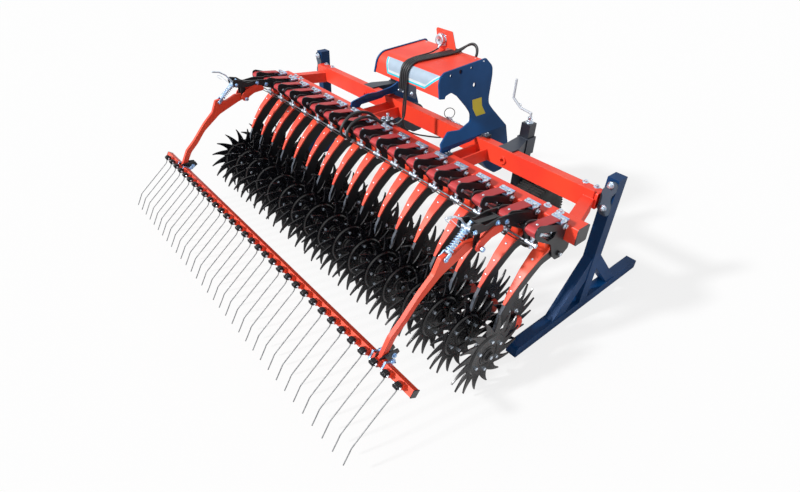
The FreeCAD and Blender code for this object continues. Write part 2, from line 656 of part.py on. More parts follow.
def placed_star(shape, x, y, turn):
    copy = shape.copy()
    copy.rotate(Vector(0, 0, 0), Vector(1, 0, 0), turn)
    copy.translate(Vector(x, y, AXLE_Z))
    return copy


# ---------------------------------------------------------------- gauge wheels
def gauge_bracket():
    """Raked arm from the front beam, hooked over it, with the sleeve of the gauge leg."""
    x0 = GAUGE_LEG_X - GAUGE_LEG_SIZE / 2
    x1 = GAUGE_LEG_X + GAUGE_LEG_SIZE / 2
    gap, wall = GAUGE_SLEEVE_GAP, GAUGE_SLEEVE_WALL
    y0 = FRONT_BEAM_FRONT
    y1 = GAUGE_LEG_REAR - gap - wall
    low, high = FRONT_BEAM_LOW + 12, REAR_PLATE_TOP
    root = x0 + GAUGE_ARM_RAKE / 2
    arm = plate_z([(root, y0), (root + GAUGE_ARM_ROOT, y0), (x1 + gap, y1), (x0 - gap, y1)],
                  low, high)
    hook = block(root, root + GAUGE_ARM_ROOT, FRONT_BEAM_REAR + REAR_PLATE_THICKNESS, y0,
                 FRONT_BEAM_TOP, high)
    sleeve = block(x0 - gap - wall, x1 + gap + wall, y1,
                   GAUGE_LEG_REAR + GAUGE_LEG_SIZE + gap + wall, low - 10, high + 3)
    bore = block(x0 - gap, x1 + gap, GAUGE_LEG_REAR - gap, GAUGE_LEG_REAR + GAUGE_LEG_SIZE + gap,
                 low - 50, high + 50)
    return joined([arm, hook, sleeve.cut(bore)])


def gauge_leg():
    """Square leg with the wheel's stub axle and the crank of its height screw."""
    x0 = GAUGE_LEG_X - GAUGE_LEG_SIZE / 2
    y0 = GAUGE_LEG_REAR
    y = y0 + GAUGE_LEG_SIZE / 2
    leg = block(x0, x0 + GAUGE_LEG_SIZE, y0, y0 + GAUGE_LEG_SIZE, GAUGE_LEG_FOOT, GAUGE_LEG_TOP)
    end = x0 + GAUGE_LEG_SIZE + TYRE_GAP + TYRE_WIDTH - 30
    axle = rod_x(x0 + GAUGE_LEG_SIZE, end, y, TYRE_Z, TYRE_AXLE_RADIUS)
    r = CRANK_RADIUS
    top = GAUGE_LEG_TOP
    path = [Vector(GAUGE_LEG_X, y, top), Vector(GAUGE_LEG_X, y, top + 62),
            Vector(GAUGE_LEG_X - 86, y, top + 71), Vector(GAUGE_LEG_X - 154, y, top + 117),
            Vector(GAUGE_LEG_X - 154, y, top + 233)]
    crank = []
    for start, stop in zip(path, path[1:]):
        crank.append(rod_between(start, stop, r))
        crank.append(Part.makeSphere(r, stop))
    return joined([leg, axle] + crank)


def gauge_wheel():
    """Low-pressure tyre on a dished rim, turned as one profile."""
    w, r = TYRE_WIDTH, TYRE_RADIUS
    bore = TYRE_AXLE_RADIUS + RUNNING_FIT
    tread, rim = r - 8, 0.46 * r
    profile = [(12, bore), (w - 24, bore), (w - 24, 42), (w - 52, 46), (w - 58, rim - 16),
               (w - 22, rim - 8), (w - 18, rim + 4), (w - 6, 0.6 * r), (w, 0.76 * r),
               (w - 8, tread - 12), (w - 34, r), (34, r), (8, tread - 12), (0, 0.76 * r),
               (6, 0.6 * r), (18, rim + 4), (22, rim - 8), (46, rim - 16), (40, 46), (12, 42)]
    corners = [Vector(x, radius, 0) for x, radius in profile]
    wheel = Part.Face(Part.makePolygon(corners + corners[:1]))
    wheel = wheel.revolve(Vector(0, 0, 0), Vector(1, 0, 0), 360)
    x0 = GAUGE_LEG_X + GAUGE_LEG_SIZE / 2 + TYRE_GAP
    wheel.translate(Vector(x0, GAUGE_LEG_REAR + GAUGE_LEG_SIZE / 2, TYRE_Z))
    return wheel


# ---------------------------------------------------------------- harrow
def harrow_arm(x):
    """Curved arm from its pivot down to the tine tube, bored for the strut."""
    py, pz = HARROW_PIVOT_Y, HARROW_PIVOT_Z
    ty, tz = HARROW_TUBE_Y, HARROW_TUBE_Z
    ey, ez = STRUT_EYE_Y, STRUT_EYE_Z
    outline = [(py + 24, pz - 4, 16), (py + 12, pz + 24, 18), (py - 65, pz + 32, 20),
               (ey + 48, ez - 6, 60), (ey + 12, ez + 19, 14), (ey - 26, ez + 15, 14),
               (-1012, 738, 40), (-1092, 668, 200), (-1190, 560, 200), (-1262, 495, 60),
               (ty - 14, tz + 8), (ty + 16, tz - 6), (-1230, 476, 60), (-1168, 532, 200),
               (-1099, 612, 200), (-961, 712, 120), (-800, 775, 60)]
    half = HARROW_ARM_THICKNESS / 2
    arm = plate_x(outline, x - half, x + half)
    boss = rod_x(x - BOSS_HALF, x + BOSS_HALF, py, pz, HARROW_PIN_RADIUS + 10)
    arm = joined([arm, boss])
    arm = arm.cut(rod_x(x - 50, x + 50, py, pz, HARROW_PIN_RADIUS + RUNNING_FIT))
    return arm.cut(rod_x(x - 50, x + 50, ey, ez, STRUT_PIN_RADIUS + STRUT_EYE_PLAY))


def tilted(shape, x):
    """Turn a piece drawn about the tine tube's own axis into place."""
    copy = shape.copy()
    copy.rotate(Vector(0, 0, 0), Vector(1, 0, 0), -HARROW_TUBE_TILT)
    copy.translate(Vector(x, HARROW_TUBE_Y, HARROW_TUBE_Z))
    return copy


def harrow_frame():
    """Tine tube with a saddle block for each coil and the two arms that carry it."""
    s = HARROW_TUBE_SIZE / 2
    half = HARROW_TUBE_HALF
    tube = tilted(plate_x(box_outline(-s, s, -s, s, 4), -half, half), HARROW_TUBE_SHIFT)
    seat = block(-COIL_HALF, COIL_HALF, -s - COIL_SEAT - COIL_RADIUS / 3, -s, -s + 6, s - 6)
    seat = seat.cut(rod_x(-COIL_HALF, COIL_HALF, -COIL_OUT, 0, COIL_RADIUS))
    seats = [tilted(seat, x) for x in TINE_XS]
    return joined([tube, harrow_arm(HARROW_X), harrow_arm(-HARROW_X)] + seats)


def prism(start, end, radius, sides):
    """Plain many-sided bar between two points."""
    along = (end - start).normalize()
    side = Vector(1, 0, 0)
    up = along.cross(side)
    corners = []
    for i in range(sides + 1):
        angle = 2 * math.pi * i / sides
        corners.append(start + side * (radius * math.cos(angle)) + up * (radius * math.sin(angle)))
    return Part.Face(Part.makePolygon(corners)).extrude(end - start)


TINE_POINTS = [(-8, -14), (-18, -36), (-255, -228), (-306, -316)]


def tine():
    """Double coil and one long finger bent down at its end, about the coil's centre."""
    core = rod_x(-COIL_HALF, COIL_HALF, 0, 0, COIL_CORE_RADIUS)
    left = rod_x(-COIL_HALF, -5, 0, 0, COIL_RADIUS)
    right = rod_x(5, COIL_HALF, 0, 0, COIL_RADIUS)
    bridge = rod_x(-5, 5, -8, -14, 6)
    pieces = [core, left, right, bridge]
    points = [Vector(0, y, z) for y, z in TINE_POINTS]
    for start, stop in zip(points, points[1:]):
        pieces.append(prism(start, stop, TINE_WIRE_RADIUS, 6))
    return joined(pieces)


def placed_tine(shape, x):
    copy = shape.copy()
    copy.translate(Vector(x, COIL_Y, COIL_Z))
    return copy


def harrow_bracket(x):
    """Two slim plates that reach back from an arm bracket, with a bar and a fork between them."""
    py, pz = HARROW_PIVOT_Y, HARROW_PIVOT_Z
    front = REAR_BEAM_REAR - 2 * BRACKET_BASE - 6
    outline = [(STRUT_TOP_Y - 24, 930, 14), (STRUT_TOP_Y - 14, 955, 14), (py - 10, 940, 20),
               (-723, 911, 40), (-629, 919, 60), (-520, 901, 60), (-430, 873, 40),
               (front, 846, 10), (front, 806, 10), (-430, 812, 60), (-560, 846, 80),
               (-640, 880, 60), (-704, 882, 40), (py, 884, 20), (STRUT_TOP_Y - 14, 896, 20)]
    half = BRACKET_HALF + BRACKET_THICKNESS
    plate = plate_x(outline, x + half, x + half + SUPPORT_THICKNESS)
    other = moved_x(plate, -2 * half - SUPPORT_THICKNESS)
    bar = plate_x([(-592, 872), (-592, 897), (py - 6, 923), (py - 6, 896)], x - 15, x + 15)
    near = block(x - half, x + half, -600, -592, 866, 900)
    far = block(x - half, x + half, py - 6, py + 2, 890, 926)
    fork = plate_x([(py - 20, pz - 14, 14), (py - 20, 900), (py + 20, 900), (py + 20, pz - 14, 14)],
                   x + FORK_HALF, x + FORK_HALF + 6)
    fork_other = moved_x(fork, -2 * FORK_HALF - 6)
    pivot = rod_x(x - half - SUPPORT_THICKNESS, x + half + SUPPORT_THICKNESS, py, pz,
                  HARROW_PIN_RADIUS)
    collar = rod_x(x + FORK_HALF, x + half + SUPPORT_THICKNESS, py, pz, 14)
    collar_other = moved_x(collar, -half - SUPPORT_THICKNESS - FORK_HALF)
    anchor = rod_x(x - half - SUPPORT_THICKNESS - 6, x + half + SUPPORT_THICKNESS + 6,
                   STRUT_TOP_Y, STRUT_TOP_Z, STRUT_PIN_RADIUS)
    return joined([plate, other, bar, near, far, fork, fork_other, pivot, collar, collar_other,
                   anchor])


def harrow_stay(x, side):
    """Curved outer stay from the side plate down to the harrow's pivot."""
    py, pz = HARROW_PIVOT_Y, HARROW_PIVOT_Z
    outline = [(py - 22, pz - 12, 14), (py - 34, pz + 10, 16), (py - 24, pz + 34, 40),
               (py + 18, pz + 66, 60), (-667, 889, 40), (-604, 872, 14), (-590, 848, 10),
               (-604, 836, 10), (-677, 830, 50), (py + 26, pz + 8, 40), (py + 10, pz - 20, 16)]
    start = side * (BRACKET_HALF + BRACKET_THICKNESS + SUPPORT_THICKNESS)
    plate = plate_x(outline, x + min(start, start + side * 8), x + max(start, start + side * 8))
    stop = start + side * 15
    head = rod_x(x + min(start, stop), x + max(start, stop), py, pz, 11)
    return joined([plate, head])


def strut_points(x):
    top = Vector(x, STRUT_TOP_Y, STRUT_TOP_Z)
    eye = Vector(x, STRUT_EYE_Y, STRUT_EYE_Z)
    return top, eye, (eye - top).normalize()


def strut_sleeve(x):
    """Trunnion, guide tube, upper spring cup and the bent handle of the screw."""
    top, eye, along = strut_points(x)
    barrel = rod_between(top + along * -24, top + along * 58, 13)
    trunnion = rod_x(x - 26, x + 26, STRUT_TOP_Y, STRUT_TOP_Z, 15)
    cup = rod_between(top + along * 20, top + along * 26, STRUT_SPRING_RADIUS + 2)
    path = [top, top + Vector(0, -52, 70), top + Vector(0, -94, 98), top + Vector(0, -145, 110)]
    handle = []
    for start, stop in zip(path, path[1:]):
        handle.append(rod_between(start, stop, 6))
        handle.append(Part.makeSphere(6, stop))
    body = joined([barrel, trunnion, cup] + handle)
    body = body.cut(rod_x(x - 50, x + 50, STRUT_TOP_Y, STRUT_TOP_Z,
                          STRUT_PIN_RADIUS + RUNNING_FIT))
    return body.cut(rod_between(top + along * 12, top + along * 80, STRUT_ROD_RADIUS + RUNNING_FIT))


def strut_rod(x):
    """Rod with a lower spring cup and a fork that straddles the lug of the harrow arm."""
    top, eye, along = strut_points(x)
    rod = rod_between(top + along * 40, eye + along * -36, STRUT_ROD_RADIUS)
    half = HARROW_ARM_THICKNESS / 2
    cup = rod_between(eye + along * -52, eye + along * -46, STRUT_SPRING_RADIUS + 2)
    yoke = rod_between(eye + along * -40, eye + along * -30, 14)
    fork = []
    for side in (-1, 1):
        x0 = x + side * (half + 3)
        x1 = x0 + side * 6
        cheek = rod_x(min(x0, x1), max(x0, x1), STRUT_EYE_Y, STRUT_EYE_Z, 13)
        link = prism(Vector((x0 + x1) / 2, *(eye + along * -38)[1:]),
                     Vector((x0 + x1) / 2, *eye[1:]), 3, 4)
        fork.append(joined([cheek, link]))
    bridge = rod_between(Vector(x - half - 9, *(eye + along * -35)[1:]),
                         Vector(x + half + 9, *(eye + along * -35)[1:]), 6)
    pin = rod_x(x - half - 12, x + half + 12, STRUT_EYE_Y, STRUT_EYE_Z, STRUT_PIN_RADIUS)
    return joined([rod, cup, yoke, bridge, pin] + fork)


# ---------------------------------------------------------------- hydraulic lines
def cord(points, radius):
    """Round cord through corner points, with a tangent arc at each bend."""
    edges = []
    start = points[0]
    for before, corner, after in zip(points, points[1:], points[2:]):
        back, ahead = before - corner, after - corner
        half = back.getAngle(ahead) / 2
        bend = 0.45 * min(back.Length, ahead.Length) * math.tan(half)
        reach = bend / math.tan(half)
        back.normalize()
        ahead.normalize()
        middle = (back + ahead).normalize()
        near, far = corner + back * reach, corner + ahead * reach
        inside = corner + middle * (bend / math.sin(half) - bend)
        edges.append(Part.LineSegment(start, near).toShape())
        edges.append(Part.Arc(near, inside, far).toShape())
        start = far
    edges.append(Part.LineSegment(start, points[-1]).toShape())
    path = Part.Wire(edges)
    round_end = Part.makeCircle(radius, points[0], points[1] - points[0])
    return path.makePipeShell([Part.Wire(round_end)], True, False)


def hood_hose(index):
    """One of the hoses that lie over the hood, from its front edge to behind it."""
    shift = -HOSE_PITCH * index
    x = 92 + shift
    if index < 2:
        y, z = 16 * index, -10 * index
        ahead = [Vector(164 - 18 * index, 231.5, 1184), Vector(166 - 18 * index, 264 + y / 2, 1200),
                 Vector(196 - 16 * index, 275 + y, 1262), Vector(214 - 16 * index, 282 + y, 1306),
                 Vector(168 - 8 * index, 296 + y, 1332 + z), Vector(118 - 14 * index, 290 + y, 1316 + z),
                 Vector(x, 262, 1287)]
    else:
        ahead = [Vector(x + 36, 231.5, 1184), Vector(x + 28, 282, 1205), Vector(x + 8, 284, 1292),
                 Vector(x, 232, 1281)]
    x = 20 + shift
    over = [Vector(92 + shift, 200, 1278.5), Vector(x + 14, -112, 1260.5),
            Vector(x, -160.5, 1212)]
    if index > 0:
        return cord(ahead + over + [Vector(x, -161, 1080.7)], HOSE_RADIUS)
    behind = [Vector(x + 1, -163, 1040), Vector(x, -172, 920), Vector(x + 2, -188, 866),
              Vector(x - 8, -226, 848), Vector(-49.5, -226, 848)]
    return cord(ahead + over + behind, HOSE_RADIUS)


def feed_hose(points):
    """Fatter hose that arches from the valve block over the arms to the cross pipe."""
    return cord([Vector(*point) for point in points], FEED_RADIUS)


FEEDS = [[(-100, -262.3, 852), (-100, -284, 852), (-116, -345, 925), (-124, -425, 955),
          (-125, -508, 950), (-125, -566, 908), (-127, -592, 858), (-128, -570, 812),
          (-128, -528.5, 793)],
         [(-70, -262.3, 852), (-70, -284, 852), (-75, -345, 902), (-79, -420, 934),
          (-82, -500, 928), (-80, -562, 888), (-76, -580, 842), (-70, -557, 806),
          (-66, -528.5, 793)]]


def valve_block():
    return block(-122, -50, -262, -190, REAR_BEAM_TOP, REAR_BEAM_TOP + 44)


def cross_pipes():
    """Rigid pipe between each two unions."""
    pipes = []
    for left, right in zip(ARM_XS, ARM_XS[1:]):
        pipes.append(rod_x(left + TEE_HALF, right - TEE_HALF, PIPE_Y, PIPE_Z, PIPE_RADIUS))
    return pipes


# ---------------------------------------------------------------- hand over
# The rear-most point is a tine's tip and the foremost is a parking foot.
TINE_TIP_REAR = COIL_Y + TINE_POINTS[-1][0] - TINE_WIRE_RADIUS
DATUM_Y = -(FOOT_FRONT + TINE_TIP_REAR) / 2
STAND_REACH = STAND_TUBE / 2 + CHEEK_LIP
RIGHT_REACH = max(REAR_BEAM_HALF + END_CAP, STAND_X_RIGHT + STAND_REACH)
LEFT_REACH = max(REAR_BEAM_HALF + END_CAP, STAND_REACH - STAND_X_LEFT)
DATUM_X = (LEFT_REACH - RIGHT_REACH) / 2
REAR_TURN = 7.72
FRONT_TURN = 9.1


def build():
    """Every node's solids, by the node's name."""
    xs = ARM_XS
    finger = tine()
    front_star, rear_star = star(-1), star(1)
    spacer_end = FRONT_BEAM_HALF + LEFT_SPACER
    stays = [harrow_stay(x, side) for x in (HARROW_X, -HARROW_X) for side in (-1, 1)]
    lines = cross_pipes() + [hood_hose(i) for i in range(4)]
    lines = lines + [feed_hose(points) for points in FEEDS] + [valve_block()]
    nodes = {
        "front_beam": [front_beam(), beam_spacer()],
        "rear_beam": [rear_beam()] + beam_caps(),
        "cross_members": cross_members(),
        "headstock_plates": both_sides(headstock_plate()),
        "headstock_hood": [headstock_hood()],
        "link_brackets": both_sides(lower_ear()) + [top_link_lugs(), hose_clamp()],
        "parking_stands": [parking_stand(STAND_X_RIGHT), parking_stand(STAND_X_LEFT),
                           stand_cheek(1, FRONT_BEAM_HALF, STAND_X_RIGHT),
                           stand_cheek(-1, spacer_end, STAND_X_LEFT)],
        "arm_brackets": [arm_bracket(x) for x in xs],
        "arm_covers": [arm_cover(x) for x in xs],
        "clamp_plates": [clamp_plate(x) for x in xs],
        "arms": [arm(x) for x in xs],
        "arm_backs": [arm_back(x) for x in xs] + stays,
        "cylinders": [cylinder(x) for x in xs],
        "hydraulic_lines": lines,
        "harrow_brackets": [harrow_bracket(HARROW_X), harrow_bracket(-HARROW_X)],
        "gauge_brackets": both_sides(gauge_bracket()),
        "gauge_leg_right": [gauge_leg()],
        "gauge_leg_left": [mirrored(gauge_leg())],
        "gauge_wheel_right": [gauge_wheel()],
        "gauge_wheel_left": [mirrored(gauge_wheel())],
        "harrow_frame": [harrow_frame()],
        "harrow_tines": [placed_tine(finger, x) for x in TINE_XS],
        "strut_sleeve_right": [strut_sleeve(HARROW_X)],
        "strut_sleeve_left": [strut_sleeve(-HARROW_X)],
        "strut_rod_right": [strut_rod(HARROW_X)],
        "strut_rod_left": [strut_rod(-HARROW_X)],
    }
    for k, x in enumerate(xs, 1):
        turn = FRONT_TURN * (k - ARM_COUNT) - 1.0
        nodes["star_front_%02d" % k] = [placed_star(front_star, x + star_offset(-1),
                                                    AXLE_Y_FRONT, turn)]
        turn = REAR_TURN * (k - 1) - 10.7
        nodes["star_rear_%02d" % k] = [placed_star(rear_star, x + star_offset(1),
                                                   AXLE_Y_REAR, turn)]
    return nodes


def main():
    os.makedirs("parts", exist_ok=True)
    for name, shapes in build().items():
        shape = shapes[0] if len(shapes) == 1 else Part.makeCompound(shapes)
        shape.translate(Vector(DATUM_X, DATUM_Y, 0))
        shape.exportStep("parts/%s.step" % name)


main()
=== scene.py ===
import json
import math

import bmesh
import bpy
from mathutils import Matrix, Vector


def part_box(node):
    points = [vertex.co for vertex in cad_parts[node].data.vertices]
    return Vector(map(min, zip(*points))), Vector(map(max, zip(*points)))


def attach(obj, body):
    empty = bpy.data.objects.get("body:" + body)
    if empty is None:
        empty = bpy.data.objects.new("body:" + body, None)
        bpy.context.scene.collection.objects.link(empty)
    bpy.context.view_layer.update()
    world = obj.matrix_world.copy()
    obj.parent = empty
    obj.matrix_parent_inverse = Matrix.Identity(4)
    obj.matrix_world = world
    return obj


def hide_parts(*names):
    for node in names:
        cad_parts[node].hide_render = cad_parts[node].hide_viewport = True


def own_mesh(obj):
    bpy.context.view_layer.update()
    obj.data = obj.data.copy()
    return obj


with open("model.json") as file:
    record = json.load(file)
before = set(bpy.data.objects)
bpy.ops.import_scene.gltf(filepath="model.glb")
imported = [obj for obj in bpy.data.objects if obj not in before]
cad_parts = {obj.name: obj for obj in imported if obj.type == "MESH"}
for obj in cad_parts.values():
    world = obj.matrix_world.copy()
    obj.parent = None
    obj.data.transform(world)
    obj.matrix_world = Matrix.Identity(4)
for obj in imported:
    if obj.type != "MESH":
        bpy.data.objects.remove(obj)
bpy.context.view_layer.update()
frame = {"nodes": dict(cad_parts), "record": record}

# A mounted rotary hoe. Lengths below are millimetres from the machine's own datum, which is
# the middle of the rear beam sideways, 281 mm ahead of its rear face, and the floor.
# X is the machine's right, Y is forward, Z is up.
beam_low, beam_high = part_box("rear_beam")
DATUM = Vector(((beam_low[0] + beam_high[0]) / 2, beam_low[1] + 0.281, 0.0))
MM = 0.001
X, Y, Z = Vector((1, 0, 0)), Vector((0, 1, 0)), Vector((0, 0, 1))

ARM_PITCH = 172.0
ARM_XS = [ARM_PITCH * (k - 8) for k in range(17)]
AXLE_Z = 255.0
STAR_RADIUS = 250.0
AXLE_Y_FRONT = -557.0
AXLE_Y_REAR = -805.0
TUBE_Y = -1314.0
TUBE_Z = 368.0
TUBE_TILT = 34.0
HARROW_X = 1204.0
TINE_XS = [9 + 86.0 * k for k in range(-16, 17)]
COIL_OUT = 20 + 17.7 + 20
COIL_Y = TUBE_Y - COIL_OUT * math.cos(math.radians(TUBE_TILT))
COIL_Z = TUBE_Z + COIL_OUT * math.sin(math.radians(TUBE_TILT))
STRUT_TOP = Vector((0, -808, 915))
STRUT_EYE = Vector((0, -948, 803))
STRUT_WAY = (STRUT_EYE - STRUT_TOP).normalized()


def at(x, y, z):
    """Metres in the model's frame from millimetres off the machine's datum."""
    return DATUM + Vector((x, y, z)) * MM


# ---------------------------------------------------------------- colour and node helpers
def linear(code):
    """Linear RGBA from an sRGB hex colour."""
    parts = [int(code[i:i + 2], 16) / 255 for i in (1, 3, 5)]
    return tuple(c / 12.92 if c <= 0.04045 else ((c + 0.055) / 1.055) ** 2.4
                 for c in parts) + (1.0,)


def node(tree, kind, settings=(), links=()):
    """Adds a node with its settings, its unlinked inputs and its links."""
    new = tree.nodes.new(kind)
    for name, value in dict(settings).items():
        if isinstance(name, int) or name in new.inputs:
            new.inputs[name].default_value = value
        else:
            setattr(new, name, value)
    for name, source in dict(links).items():
        tree.links.new(source, new.inputs[name])
    return new


def blank(name):
    """An empty material with its output, its surface position and its shader."""
    material = bpy.data.materials.new(name)
    material.use_nodes = True
    tree = material.node_tree
    tree.nodes.clear()
    place = node(tree, "ShaderNodeTexCoord").outputs["Object"]
    shader = node(tree, "ShaderNodeBsdfPrincipled")
    node(tree, "ShaderNodeOutputMaterial", links={"Surface": shader.outputs["BSDF"]})
    return material, tree, place, shader


def patches(tree, place, size_mm, low, high, detail=2.0):
    """Soft-edged patches from 0 to 1, about size_mm across."""
    cloud = node(tree, "ShaderNodeTexNoise", {"Scale": 1000 / size_mm, "Detail": detail},
                 {"Vector": place})
    return node(tree, "ShaderNodeMapRange", {"From Min": low, "From Max": high},
                {"Value": cloud.outputs["Fac"]}).outputs["Result"]


def relief(tree, place, shader, edge_mm, size_mm, height_mm, detail=2.0):
    """Edges eased to a real radius, with fine bumps of a real size over the surface."""
    eased = node(tree, "ShaderNodeBevel", {"samples": 4, "Radius": edge_mm * MM})
    cloud = node(tree, "ShaderNodeTexNoise", {"Scale": 1000 / size_mm, "Detail": detail},
                 {"Vector": place})
    bump = node(tree, "ShaderNodeBump", {"Strength": 1.0, "Distance": height_mm * MM},
                {"Height": cloud.outputs["Fac"], "Normal": eased.outputs["Normal"]})
    tree.links.new(bump.outputs["Normal"], shader.inputs["Normal"])


def beyond(tree, place, axis, limit_mm, soft_mm=1.0):
    """1 where the surface lies past a limit along an axis of the machine, 0 before it.

    A limit that is written as (axis, -1) is passed towards the low side.
    """
    name, way = axis
    level = (DATUM["XYZ".index(name)] + limit_mm * MM) * way
    split = node(tree, "ShaderNodeSeparateXYZ", links={"Vector": place})
    turned_to = node(tree, "ShaderNodeMath", {"operation": "MULTIPLY", 1: way},
                     {0: split.outputs[name]})
    return node(tree, "ShaderNodeMapRange",
                {"From Min": level, "From Max": level + soft_mm * MM},
                {"Value": turned_to.outputs[0]}).outputs["Result"]


# ---------------------------------------------------------------- finishes
def powder_coat(name, main, shade, dust, gloss, zones=(), shine=0.5):
    """Baked powder coat on steel: even colour, slight orange peel, a trace of road dust.

    Each zone is a mask maker and the colour that the coat takes inside it.
    """
    material, tree, place, shader = blank(name)
    shader.inputs["Specular IOR Level"].default_value = shine
    broad = patches(tree, place, 260, 0.35, 0.65)
    fine = patches(tree, place, 9, 0.58, 0.78, 4.0)
    coat = node(tree, "ShaderNodeMix", {"data_type": "RGBA", 6: linear(main),
                                        7: linear(shade)}, {0: broad})
    for mask, colour in zones:
        coat = node(tree, "ShaderNodeMix", {"data_type": "RGBA", 7: linear(colour)},
                    {0: mask(tree, place), 6: coat.outputs[2]})
    grime = node(tree, "ShaderNodeMath", {"operation": "MULTIPLY", 1: 0.18}, {0: fine})
    coat = node(tree, "ShaderNodeMix", {"data_type": "RGBA", 7: linear(dust)},
                {0: grime.outputs[0], 6: coat.outputs[2]})
    tree.links.new(coat.outputs[2], shader.inputs["Base Color"])
    rough = node(tree, "ShaderNodeMapRange", {"To Min": gloss, "To Max": gloss + 0.08},
                 {"Value": broad})
    tree.links.new(rough.outputs["Result"], shader.inputs["Roughness"])
    # orange peel is about 2 mm across and is drawn at 5 mm so that it shows
    relief(tree, place, shader, 1.6, 5, 0.04)
    return material


def zinc_plate(name, main, shade, rough):
    """Bright zinc plating: pale blue-grey metal with soft cloudy patches."""
    material, tree, place, shader = blank(name)
    cloudy = patches(tree, place, 14, 0.35, 0.65, 3.0)
    plating = node(tree, "ShaderNodeMix", {"data_type": "RGBA", 6: linear(main),
                                           7: linear(shade)}, {0: cloudy})
    tree.links.new(plating.outputs[2], shader.inputs["Base Color"])
    dull = node(tree, "ShaderNodeMapRange", {"To Min": rough, "To Max": rough + 0.12},
                {"Value": cloudy})
    tree.links.new(dull.outputs["Result"], shader.inputs["Roughness"])
    shader.inputs["Metallic"].default_value = 1.0
    # the plating's spangle is finer than 1 mm and is drawn at 3 mm so that it shows
    relief(tree, place, shader, 0.8, 3, 0.02)
    return material


def star_steel(name, axle_y):
    """Forged spring steel dipped in black: half gloss near the hub, greyer and rougher in patches
    towards the tips.
    """
    material, tree, place, shader = blank(name)
    centre = at(0, axle_y, AXLE_Z)
    offset = node(tree, "ShaderNodeVectorMath", {"operation": "SUBTRACT", 1: tuple(centre)},
                  {0: place})
    flat = node(tree, "ShaderNodeVectorMath", {"operation": "MULTIPLY", 1: (0.0, 1.0, 1.0)},
                {0: offset.outputs[0]})
    radius = node(tree, "ShaderNodeVectorMath", {"operation": "LENGTH"}, {0: flat.outputs[0]})
    toward_tips = node(tree, "ShaderNodeMapRange",
                {"From Min": (STAR_RADIUS - 25) * MM, "From Max": (STAR_RADIUS + 2) * MM},
                {"Value": radius.outputs["Value"]}).outputs["Result"]
    tip_patches = patches(tree, place, 12, 0.48, 0.66, 4.0)
    bare = node(tree, "ShaderNodeMath", {"operation": "MULTIPLY"}, {0: toward_tips, 1: tip_patches})
    steel = node(tree, "ShaderNodeMix", {"data_type": "RGBA", 6: linear("#0D0D12"),
                                         7: linear("#4A494C")}, {0: bare.outputs[0]})
    tree.links.new(steel.outputs[2], shader.inputs["Base Color"])
    rough = node(tree, "ShaderNodeMapRange", {"To Min": 0.24, "To Max": 0.42},
                 {"Value": tip_patches})
    tree.links.new(rough.outputs["Result"], shader.inputs["Roughness"])
    relief(tree, place, shader, 0.8, 7, 0.12, 4.0)
    return material


def tyre_rubber(name):
    """Moulded tyre rubber: near black, dull, with dust in the hollows."""
    material, tree, place, shader = blank(name)
    dusty = patches(tree, place, 40, 0.45, 0.75, 4.0)
    rubber = node(tree, "ShaderNodeMix", {"data_type": "RGBA", 6: linear("#19191A"),
                                          7: linear("#322F2D")}, {0: dusty})
    tree.links.new(rubber.outputs[2], shader.inputs["Base Color"])
    shader.inputs["Roughness"].default_value = 0.72
    # the mould's grain is finer than 1 mm and is drawn at 3 mm so that it shows
    relief(tree, place, shader, 3.0, 3, 0.1)
    return material


def spring_wire(name, main, shade, rough, metallic):
    """Oil-tempered spring wire, mottled where the temper colour varies."""
    material, tree, place, shader = blank(name)
    mottled = patches(tree, place, 16, 0.4, 0.65, 3.0)
    wire = node(tree, "ShaderNodeMix", {"data_type": "RGBA", 6: linear(main),
                                        7: linear(shade)}, {0: mottled})
    tree.links.new(wire.outputs[2], shader.inputs["Base Color"])
    shader.inputs["Metallic"].default_value = metallic
    shader.inputs["Roughness"].default_value = rough
    return material


def hose_cover(name):
    """Extruded rubber hose cover: black with the print of its wrapping cloth."""
    material, tree, place, shader = blank(name)
    wrap = patches(tree, place, 4, 0.4, 0.6)
    cover = node(tree, "ShaderNodeMix", {"data_type": "RGBA", 6: linear("#17171A"),
                                         7: linear("#28292D")}, {0: wrap})
    tree.links.new(cover.outputs[2], shader.inputs["Base Color"])
    shader.inputs["Roughness"].default_value = 0.42
    relief(tree, place, shader, 0.5, 2.5, 0.05)
    return material


def film(name, colour, rough):
    """Printed vinyl film: even colour under a smooth clear layer, very slightly wavy."""
    material, tree, place, shader = blank(name)
    tone = patches(tree, place, 60, 0.3, 0.7)
    deep = tuple(c * 0.9 for c in linear(colour)[:3]) + (1.0,)
    ink = node(tree, "ShaderNodeMix", {"data_type": "RGBA", 6: linear(colour), 7: deep},
               {0: tone})
    tree.links.new(ink.outputs[2], shader.inputs["Base Color"])
    shader.inputs["Roughness"].default_value = rough
    relief(tree, place, shader, 0.3, 20, 0.03)
    return material


def past_beam_end(tree, place):
    """The two plastic plugs at the rear beam's ends."""
    right = beyond(tree, place, ("X", 1), 1476.2, 0.2)
    left = beyond(tree, place, ("X", -1), -1476.2, 0.2)
    return node(tree, "ShaderNodeMath", {"operation": "MAXIMUM"},
                {0: right, 1: left}).outputs[0]


def lug_ahead(tree, place):
    """The lug at the front end of each star carrier."""
    ahead = beyond(tree, place, ("Y", 1), -495.0)
    low = beyond(tree, place, ("Z", -1), 300.0)
    return node(tree, "ShaderNodeMath", {"operation": "MULTIPLY"},
                {0: ahead, 1: low}).outputs[0]


def arm_nose_highlight(tree, place):
    """The rear-facing faces of each arm's lower end, under the strip, which take a grey painted
    highlight.
    """
    facing = node(tree, "ShaderNodeSeparateXYZ",
                  links={0: node(tree, "ShaderNodeNewGeometry").outputs["Normal"]})
    rear = node(tree, "ShaderNodeMapRange", {"From Min": -0.35, "From Max": -0.6},
                {"Value": facing.outputs["Y"]})
    low = beyond(tree, place, ("Z", -1), 500.0, 60.0)
    return node(tree, "ShaderNodeMath", {"operation": "MULTIPLY"},
                {0: rear.outputs["Result"], 1: low}).outputs[0]


